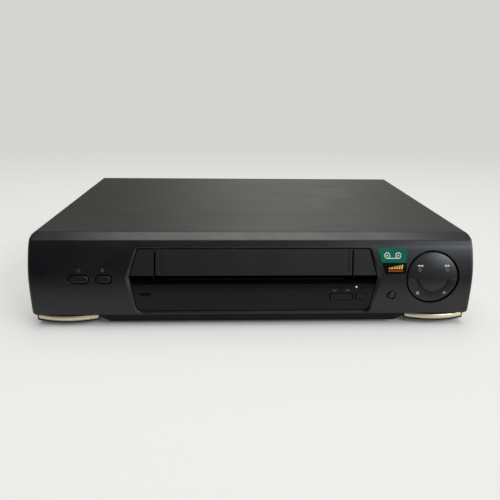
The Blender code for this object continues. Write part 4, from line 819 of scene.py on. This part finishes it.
def make_feature_sticker():
    """A thin label on the face, green over black, with a drawing of two reels and a row of level bars."""
    levels = 12
    rings = []
    for step in range(levels + 1):
        share = step / levels
        height, left, right = (low + (high - low) * share for low, high in zip(STICKER_FOOT, STICKER_HEAD))
        rings.append([on_front(left, height, STICKER_THICK), on_front(right, height, STICKER_THICK),
                      on_front(right, height, 0.05), on_front(left, height, 0.05)])
    stand_for("feature_sticker", loft(rings))

    def on_sticker(across, height, lift):
        return on_front(across, height, lift + STICKER_THICK)

    def print_on_it(name, outlines, look):
        printed(name, outlines, on_sticker, LOOKS[look], "feature_sticker", sink=0.1)
    reels = [stroke(arc((x, REEL_LEVEL), 2.5, 0.0, 354.0), 0.8) for x in REELS]
    reels += [round_dot((x, REEL_LEVEL), 0.8) for x in REELS]
    print_on_it("sticker_reels", reels + [rectangle(*REELS, 69.0, 69.8)], "print_white")
    bars = []
    for step in range(6):
        left, foot, rise = BAR_FOOT[0] + BAR_STEP * step, BAR_FOOT[1], 1.4 + 0.55 * step
        bars.append([(left, foot), (left + 1.5, foot), (left + 1.5 + rise * BAR_LEAN, foot + rise),
                     (left + rise * BAR_LEAN, foot + rise)])
    print_on_it("sticker_levels", bars, "print_yellow")
    print_on_it("sticker_line", [rectangle(130.6, 145.4, 57.2, 58.0)], "print_red")


# Materials

class Nodes:
    """A node tree that is put together node by node."""

    def __init__(self, tree):
        self.tree = tree

    def feed(self, socket, value):
        """Give a socket a value, or a link to another node's output."""
        if hasattr(value, "is_linked"):
            self.tree.links.new(value, socket)
        else:
            socket.default_value = value

    def node(self, kind, *values, **settings):
        """A node with its own settings; the values go to its sockets from the first on."""
        made = self.tree.nodes.new(kind)
        for name, setting in settings.items():
            setattr(made, name, setting)
        for socket, value in zip(made.inputs, values):
            self.feed(socket, value)
        return made

    def math(self, operation, *values):
        return self.node("ShaderNodeMath", *values, operation=operation).outputs[0]

    def ramp(self, *numbers, kind="LINEAR"):
        """A value, then the low and high that it is taken from and, if not 0 and 1, those it goes to."""
        return self.node("ShaderNodeMapRange", *numbers, interpolation_type=kind).outputs[0]

    def smooth(self, *numbers):
        """A ramp with a soft start and end."""
        return self.ramp(*numbers, kind="SMOOTHSTEP")

    def blend(self, share, first, second):
        """One shader over another, by a share."""
        return self.node("ShaderNodeMixShader", share, first, second).outputs[0]


class Look(Nodes):
    """A procedural material; its coordinates are the piece's own, in metres."""

    def __init__(self, name, colour, roughness, metallic=0.0, specular=0.5):
        self.name = name
        self.material = bpy.data.materials.new(name)
        self.material.use_nodes = True
        super().__init__(self.material.node_tree)
        self.shader = self.tree.nodes["Principled BSDF"]
        for socket, value in (("Base Color", (*colour, 1.0)), ("Roughness", roughness),
                              ("Metallic", metallic), ("Specular IOR Level", specular)):
            self.shader.inputs[socket].default_value = value
        self.place = self.node("ShaderNodeTexCoord").outputs["Object"]

    def noise(self, per_metre, detail=3.0, roughness=0.5, stretch=(1, 1, 1)):
        mapping = self.node("ShaderNodeMapping", self.place)
        mapping.inputs["Scale"].default_value = stretch
        made = self.node("ShaderNodeTexNoise", mapping.outputs[0])
        made.inputs["Scale"].default_value = per_metre
        made.inputs["Detail"].default_value = detail
        made.inputs["Roughness"].default_value = roughness
        return made.outputs["Fac"]

    def mix(self, share, first, second):
        made = self.node("ShaderNodeMix", share, data_type="RGBA")
        for socket, colour in ((made.inputs[6], first), (made.inputs[7], second)):
            self.feed(socket, (*colour, 1.0) if isinstance(colour, tuple) else colour)
        return made.outputs[2]

    def axis(self, name):
        return self.node("ShaderNodeSeparateXYZ", self.place).outputs[name]

    def paint(self, colour):
        self.feed(self.shader.inputs["Base Color"], colour)

    def rough(self, noise, low, high):
        """Roughness that drifts between two values with a noise."""
        self.feed(self.shader.inputs["Roughness"], self.ramp(noise, 0.3, 0.7, low, high))

    def bump(self, height, strength, distance):
        made = self.node("ShaderNodeBump")
        made.inputs["Strength"].default_value = strength
        made.inputs["Distance"].default_value = distance
        self.feed(made.inputs["Height"], height)
        self.feed(self.shader.inputs["Normal"], made.outputs[0])


GRAIN = 2600.0


def moulded(name, colour, roughness, grain=GRAIN, specular=0.5):
    """Moulded plastic: a fine spark-eroded grain, with faint clouds of handling."""
    look = Look(name, colour, roughness, specular=specular)
    light = tuple(min(1.0, part * 1.25 + 0.0005) for part in colour)
    clouds = look.noise(14.0, 4.0, 0.6)
    look.paint(look.mix(look.ramp(clouds, 0.35, 0.7), colour, light))
    look.rough(look.noise(30.0, 5.0, 0.65), roughness - 0.05, roughness + 0.08)
    look.bump(look.noise(grain, 2.0, 0.5), 0.16, 0.00005)
    return look


def sheet_metal(name, colour, roughness, metallic=0.9, stretch=(1, 1, 1)):
    """Plated or brushed metal: spangle, drawing lines and finger marks."""
    look = Look(name, colour, roughness, metallic)
    dark = tuple(part * 0.88 for part in colour)
    look.paint(look.mix(look.ramp(look.noise(110.0, 3.0), 0.4, 0.65), colour, dark))
    look.rough(look.noise(60.0, 5.0, 0.7, stretch), roughness - 0.04, roughness + 0.07)
    look.bump(look.noise(900.0, 3.0, 0.6, stretch), 0.15, 0.00004)
    return look


PALE_PATCHES = [(0.088, 0.137, 0.030, 0.082), (0.074, 0.097, -0.033, 0.022)]
PATCH_EDGE = 0.002


def cover_paint():
    """Textured steel paint: a fine leather grain, soft streaks, specks of dust and two paler patches."""
    look = Look("cover_paint", (0.030, 0.029, 0.026), 0.40, specular=0.5)
    streaks = look.noise(8.0, 6.0, 0.65, (0.55, 1.0, 1.0))
    tone = look.mix(look.ramp(streaks, 0.32, 0.72), (0.0265, 0.0260, 0.0235), (0.0355, 0.0345, 0.0312))
    wisps = look.ramp(look.noise(26.0, 5.0, 0.7, (0.35, 1.0, 1.0)), 0.60, 0.74)
    tone = look.mix(look.math("MULTIPLY", wisps, 0.35), tone, (0.0190, 0.0186, 0.0168))
    for left, right, near, far in PALE_PATCHES:
        across, along = look.axis("X"), look.axis("Y")
        edges = [look.ramp(across, left, left + PATCH_EDGE), look.ramp(across, right, right - PATCH_EDGE),
                 look.ramp(along, near, near + PATCH_EDGE), look.ramp(along, far, far - PATCH_EDGE)]
        inside = look.math("MULTIPLY", look.math("MULTIPLY", *edges[:2]), look.math("MULTIPLY", *edges[2:]))
        tone = look.mix(look.math("MULTIPLY", inside, 0.40), tone, (0.060, 0.059, 0.056))
    dust = look.ramp(look.noise(520.0, 2.0, 0.7), 0.74, 0.80)
    tone = look.mix(look.math("MULTIPLY", dust, 0.35), tone, (0.20, 0.19, 0.17))
    look.paint(tone)
    look.rough(look.noise(22.0, 5.0, 0.65, (0.3, 1.0, 1.0)), 0.34, 0.46)
    look.bump(look.noise(1500.0, 3.0, 0.6), 0.35, 0.00008)
    return look


def champagne_trim():
    """Pale gold anodised metal, drawn along its length."""
    look = Look("champagne_trim", (0.77, 0.675, 0.495), 0.30, 0.7)
    lines = look.noise(700.0, 1.0, 0.5, (0.01, 0.01, 1.0))
    look.paint(look.mix(look.ramp(lines, 0.3, 0.7), (0.75, 0.655, 0.48), (0.79, 0.695, 0.51)))
    look.rough(look.noise(40.0, 4.0), 0.28, 0.34)
    return look


def sticker_film():
    """Printed film: a slightly uneven green above, black below."""
    look = Look("label", (0.003, 0.122, 0.075), 0.48, specular=0.08)
    above = look.ramp(look.axis("Z"), (STICKER_SPLIT - 0.05) * MM, (STICKER_SPLIT + 0.05) * MM)
    clouds = look.ramp(look.noise(90.0, 3.0), 0.35, 0.7)
    green = look.mix(clouds, (0.0025, 0.118, 0.070), (0.0040, 0.134, 0.082))
    look.paint(look.mix(above, (0.001, 0.001, 0.001), green))
    look.rough(look.noise(60.0, 4.0), 0.42, 0.55)
    return look


# Colour and roughness; then, where they aren't the usual ones, the grain per metre and specular level
PLASTICS = {
    "black_plastic": ((0.0048, 0.005, 0.006), 0.3),
    "mouth_plastic": ((0.01, 0.0102, 0.0113), 0.33),
    # darker than the plastic it stands for: painted shade in the cassette slot
    "mouth_black": ((0.0012, 0.0012, 0.0014), 0.6, GRAIN, 0.04),
    "matt_black": ((0.005, 0.0053, 0.0062), 0.6, GRAIN, 0.14),
    "key_plastic": ((0.004, 0.0041, 0.0046), 0.32),
    "dark_key": ((0.0022, 0.0022, 0.0024), 0.55, GRAIN, 0.08),
    "window_key": ((0.0042, 0.0042, 0.0046), 0.36, GRAIN, 0.24),
    "disc_plastic": ((0.0055, 0.0058, 0.007), 0.29),
    "smoked_window": ((0.0053, 0.0053, 0.0056), 0.17, 600.0, 0.18),
    "print_grey": ((0.055, 0.053, 0.048), 0.5),
    "print_white": ((0.62, 0.62, 0.6), 0.5),
    "print_pale": ((0.27, 0.27, 0.265), 0.5),
    "print_dim": ((0.12, 0.12, 0.118), 0.5),
    "print_yellow": ((0.7, 0.48, 0.03), 0.5),
    "print_red": ((0.55, 0.03, 0.025), 0.5),
    "feet_plastic": ((0.0085, 0.0085, 0.009), 0.55),
    "rubber_foot": ((0.014, 0.014, 0.014), 0.8, 1500.0),
    "black_rubber": ((0.016, 0.016, 0.016), 0.75, 1800.0),
    "circuit_board": ((0.05, 0.13, 0.04), 0.45, 900.0),
    "paper_board": ((0.3, 0.19, 0.08), 0.6, 700.0),
    "white_plastic": ((0.66, 0.66, 0.62), 0.4),
    "grey_plastic": ((0.22, 0.22, 0.23), 0.45),
    "display_glass": ((0.012, 0.02, 0.02), 0.1, 300.0),
    "socket_plastic": ((0.011, 0.011, 0.0115), 0.5),
}

# Colour and roughness; then the metallic share, and how much the grain is stretched each way
METALS = {
    "zinc_sheet": ((0.52, 0.52, 0.5), 0.36),
    "screw_steel": ((0.03, 0.03, 0.03), 0.35, 0.8),
    "bright_steel": ((0.7, 0.7, 0.7), 0.18, 1.0),
    "aluminium": ((0.68, 0.68, 0.7), 0.3, 1.0, (1, 0.1, 1)),
}


def make_looks():
    looks = [cover_paint(), sticker_film(), champagne_trim()]
    looks += [moulded(name, *values) for name, values in PLASTICS.items()]
    looks += [sheet_metal(name, *values) for name, values in METALS.items()]
    return {look.name: look for look in looks}


LOOKS = make_looks()
SLOT_OF = {row["node"]: row["material_slot"] for row in frame["record"]["subparts"]}
BODY_OF = {node: body for body, nodes in frame["record"]["behaviour"]["bodies"].items() for node in nodes}


def dress(piece, look, angle=35):
    """Give a piece its material and smooth shading between its sharp edges."""
    piece.data.materials.clear()
    piece.data.materials.append(look.material)
    piece.data.shade_smooth()
    piece.data.set_sharp_from_angle(angle=radians(angle))
    return piece


def soften(piece, width, segments=2):
    """Round a piece's sharp edges."""
    bevel = piece.modifiers.new("soft_edges", "BEVEL")
    bevel.width = width * MM
    bevel.segments = segments
    bevel.limit_method = "ANGLE"
    bevel.angle_limit = radians(32)
    bevel.use_clamp_overlap = True
    bevel.harden_normals = True
    return piece


def even_shading(piece):
    """Let a piece's large faces set the direction of its smooth shading."""
    weighted = piece.modifiers.new("even_shading", "WEIGHTED_NORMAL")
    weighted.keep_sharp = True
    return piece


def stand_for(node, piece, look=None, angle=35):
    """A finished piece takes a CAD node's place and rides on the node's body."""
    piece.name = "fine_" + node
    piece.data.name = piece.name
    dress(piece, look or LOOKS[SLOT_OF[node]], angle)
    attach(piece, BODY_OF[node])
    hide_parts(node)
    return piece


def merged_copy(node):
    """A new mesh with the node's shape, its flat faces whole again."""
    work = bmesh.new()
    work.from_mesh(frame["nodes"][node].data)
    bmesh.ops.remove_doubles(work, verts=work.verts, dist=0.000002)
    bmesh.ops.dissolve_limit(work, angle_limit=radians(0.5), verts=work.verts, edges=work.edges)
    mesh = bpy.data.meshes.new(node)
    work.to_mesh(mesh)
    work.free()
    return add_object(node, mesh)


def dress_nodes():
    """Materials for the CAD nodes that are shown as they are."""
    for node, piece in frame["nodes"].items():
        look = LOOKS[SLOT_OF[node]]
        piece.data.materials.clear()
        piece.data.materials.append(look.material)


SOFT_NODES = {"record_button": 0.3, "direct_record_button": 0.15, "channel_rocker": 0.3, "timer_button": 0.25,
              "rear_foot_left": 0.4, "rear_foot_right": 0.4, "top_cover": 0.12, "bottom_pan": 0.2}
KEY_LOOKS = {"direct_record_button": "dark_key", "channel_rocker": "window_key",
             "record_button": "window_key"}


def soften_nodes():
    """Softened copies where a hard edge would show; the keys in the window have looks of their own."""
    for node, width in SOFT_NODES.items():
        stand_for(node, soften(merged_copy(node), width), LOOKS.get(KEY_LOOKS.get(node)))


# Floor, lights and background

FLOOR_REACH = (-12000, 12000, -3000, 60000)
BACKDROP = (0.662, 0.660, 0.648)
FLOOR_NEAR = (0.860, 0.856, 0.838)
NEAR_EDGE = -0.30
FAR_EDGE = 1.50
FADE = (0.0, 1.30)
CLEAR_AHEAD = 0.70
CLEAR_BESIDE = 0.50
# Share of flat glow in the floor the camera sees, at the footprint and beyond a reach around it: beyond it,
# painted light that lifts the recorder's shadow
NEAR_SHARE = (0.06, 0.50)
CONTACT_HALF = (0.205, 0.140)
CONTACT_REACH = (0.0, 0.028)
# Painted shadow: in reflections only, the floor ahead of the recorder darkens from here on
PAINTED_SHADOW_FROM = (-0.19, -0.35)
PAINTED_SHADOW_SLANT = 0.10
PAINTED_SHADOW_SHARE = 0.80


def make_stage():
    """A pale floor that keeps its shadows near by and fades into the backdrop's own tone all round. Further
    out, painted light lifts its shadows; in reflections, the floor ahead carries a painted shadow.
    """
    floor = plate(rectangle(*FLOOR_REACH), "Z", -20.0, 0.0)
    floor.name = "floor"
    look = Look("floor", (0.83, 0.825, 0.808), 0.6, specular=0.2)
    tone = look.mix(look.noise(1.5, 2.0), (0.86, 0.855, 0.838), (0.88, 0.875, 0.856))
    seen = look.mix(look.noise(1.5, 2.0), (0.842, 0.835, 0.815), (0.858, 0.851, 0.831))
    rays = look.node("ShaderNodeLightPath").outputs
    look.paint(look.mix(rays["Is Camera Ray"], tone, seen))
    math, x, y = look.math, look.axis("X"), look.axis("Y")
    half_x, half_y = math("ABSOLUTE", x), math("ABSOLUTE", y)
    to_edge = math("MAXIMUM", math("SUBTRACT", -CLEAR_AHEAD, y), math("SUBTRACT", half_x, CLEAR_BESIDE))
    distance = math("MAXIMUM", y, to_edge)
    nearness = math("POWER", math("SUBTRACT", 1.0, look.ramp(distance, NEAR_EDGE, FAR_EDGE)), 2.2)
    # painted light: a little way out from the footprint, more flat glow lifts the shadows
    outside = math("MAXIMUM", math("SUBTRACT", half_x, CONTACT_HALF[0]),
                   math("SUBTRACT", half_y, CONTACT_HALF[1]))
    painted_lift = look.ramp(look.smooth(outside, *CONTACT_REACH), 0.0, 1.0, *NEAR_SHARE)
    faded = math("MULTIPLY", math("SUBTRACT", 1.0, painted_lift), look.smooth(distance, *FADE))
    plain = math("MULTIPLY", math("ADD", painted_lift, faded), rays["Is Camera Ray"])
    mirrored_too = math("MAXIMUM", rays["Is Glossy Ray"], rays["Is Transmission Ray"])
    share = math("MAXIMUM", plain, math("MULTIPLY", look.smooth(y, *FADE), mirrored_too))
    # painted shadow on the floor ahead, seen only in reflections
    slanted = math("ADD", y, math("MULTIPLY", x, PAINTED_SHADOW_SLANT))
    painted_shadow = math("MULTIPLY", look.ramp(slanted, *PAINTED_SHADOW_FROM, 0.0, PAINTED_SHADOW_SHARE), rays["Is Glossy Ray"])
    glow = look.node("ShaderNodeEmission", look.mix(nearness, BACKDROP, FLOOR_NEAR))
    shade = look.node("ShaderNodeBsdfDiffuse", (0.02, 0.02, 0.02, 1.0))
    shadowed_floor = look.blend(painted_shadow, look.shader.outputs[0], shade.outputs[0])
    whole = look.blend(share, shadowed_floor, glow.outputs[0])
    look.feed(look.tree.nodes["Material Output"].inputs["Surface"], whole)
    dress(floor, look)


LAMP_PLACE = (0.10, 0.36, 1.7)
LAMP_SIZE = (1.55, 1.8)
LAMP_POWER = 22.5
LAMP_COLOUR = (1.0, 0.985, 0.955)


def make_lamp():
    """A large lamp overhead, a little behind the recorder, that shines straight down."""
    data = bpy.data.lights.new("overhead", "AREA")
    data.shape = "RECTANGLE"
    data.size, data.size_y = LAMP_SIZE
    data.energy = LAMP_POWER
    data.color = LAMP_COLOUR
    add_object("overhead", data).location = LAMP_PLACE


ROOM_LEFT = 0.02
ROOM_RIGHT = 0.38
ROOM_TURN = (-0.30, 0.25)
ROOM_BACK = 0.10
BACK_TURN = (-0.4, 0.5)
LEFT_SIDE = 0.3
LEFT_REACH = (-0.90, -0.60)
RIGHT_SIDE = 1.0
RIGHT_REACH = (0.50, 0.85)
BACK_GLOW = 0.78
GLOW_CENTRE = 0.12
GLOW_SPREAD = (0.03, 0.38)
GLOW_DEPTH = (0.2, 0.8)
GLOW_RISE = (0.0, 0.55)
WINDOW_WAY = (radians(50), radians(38))
WINDOW_REACH = (radians(4), radians(24))
WINDOW_HEAD = (0.60, 0.73)
WINDOW_LIGHT = 9.2
ROOM_COLOUR = (1.0, 0.99, 0.97)
SKY_COLOUR = (0.86, 0.93, 1.0)


def make_world():
    """A pale backdrop for the camera; for the surfaces a dim room, a window and a pale wall behind."""
    world = bpy.data.worlds.new("studio")
    bpy.context.scene.world = world
    world.use_nodes = True
    world.node_tree.nodes.clear()
    nodes = Nodes(world.node_tree)
    math, smooth = nodes.math, nodes.smooth

    def background(colour, strength):
        return nodes.node("ShaderNodeBackground", (*colour, 1.0), strength).outputs[0]

    way = nodes.node("ShaderNodeTexCoord").outputs["Generated"]
    parts = nodes.node("ShaderNodeSeparateXYZ", way)
    across, back, up = (parts.outputs[name] for name in "XYZ")
    off_centre = math("ABSOLUTE", math("SUBTRACT", across, GLOW_CENTRE))
    wall = math("MULTIPLY", smooth(back, *GLOW_DEPTH, 0.0, BACK_GLOW),
                smooth(off_centre, *GLOW_SPREAD, 1.0, 0.0))
    wall = math("MULTIPLY", wall, smooth(up, *GLOW_RISE, 0.25, 1.0))
    front = smooth(across, *ROOM_TURN, ROOM_LEFT, ROOM_RIGHT)
    ahead = smooth(back, *BACK_TURN, 1.0, 0.0)
    behind = math("MULTIPLY", math("SUBTRACT", 1.0, ahead), ROOM_BACK)
    base = math("ADD", math("MULTIPLY", front, ahead), behind)
    sides = math("ADD", smooth(across, *RIGHT_REACH, 0.0, RIGHT_SIDE),
                 smooth(across, *LEFT_REACH, LEFT_SIDE, 0.0))
    turn, rise = WINDOW_WAY
    aim = (sin(turn) * cos(rise), -cos(turn) * cos(rise), sin(rise))
    towards = nodes.node("ShaderNodeVectorMath", way, aim, operation="DOT_PRODUCT").outputs["Value"]
    window = smooth(math("ARCCOSINE", towards), *WINDOW_REACH, WINDOW_LIGHT, 0.0)
    window = math("MULTIPLY", window, smooth(up, *WINDOW_HEAD, 1.0, 0.0))
    room = background(ROOM_COLOUR, math("ADD", math("ADD", base, wall), sides))
    both = nodes.node("ShaderNodeAddShader", room, background(SKY_COLOUR, window)).outputs[0]
    rays = nodes.node("ShaderNodeLightPath").outputs
    shown = math("MAXIMUM", rays["Is Camera Ray"], rays["Is Transmission Ray"])
    nodes.node("ShaderNodeOutputWorld", nodes.blend(shown, both, background(BACKDROP, 1.0)))


make_camera()
dress_nodes()
soften_nodes()
make_front_fascia()
make_front_skirt()
make_cassette_door()
make_slot_surround()
make_display_window()
make_pills()
make_front_feet()
make_transport_disc()
make_feature_sticker()
make_marks()
make_stage()
make_lamp()
make_world()
bpy.context.scene.view_settings.view_transform = "Standard"
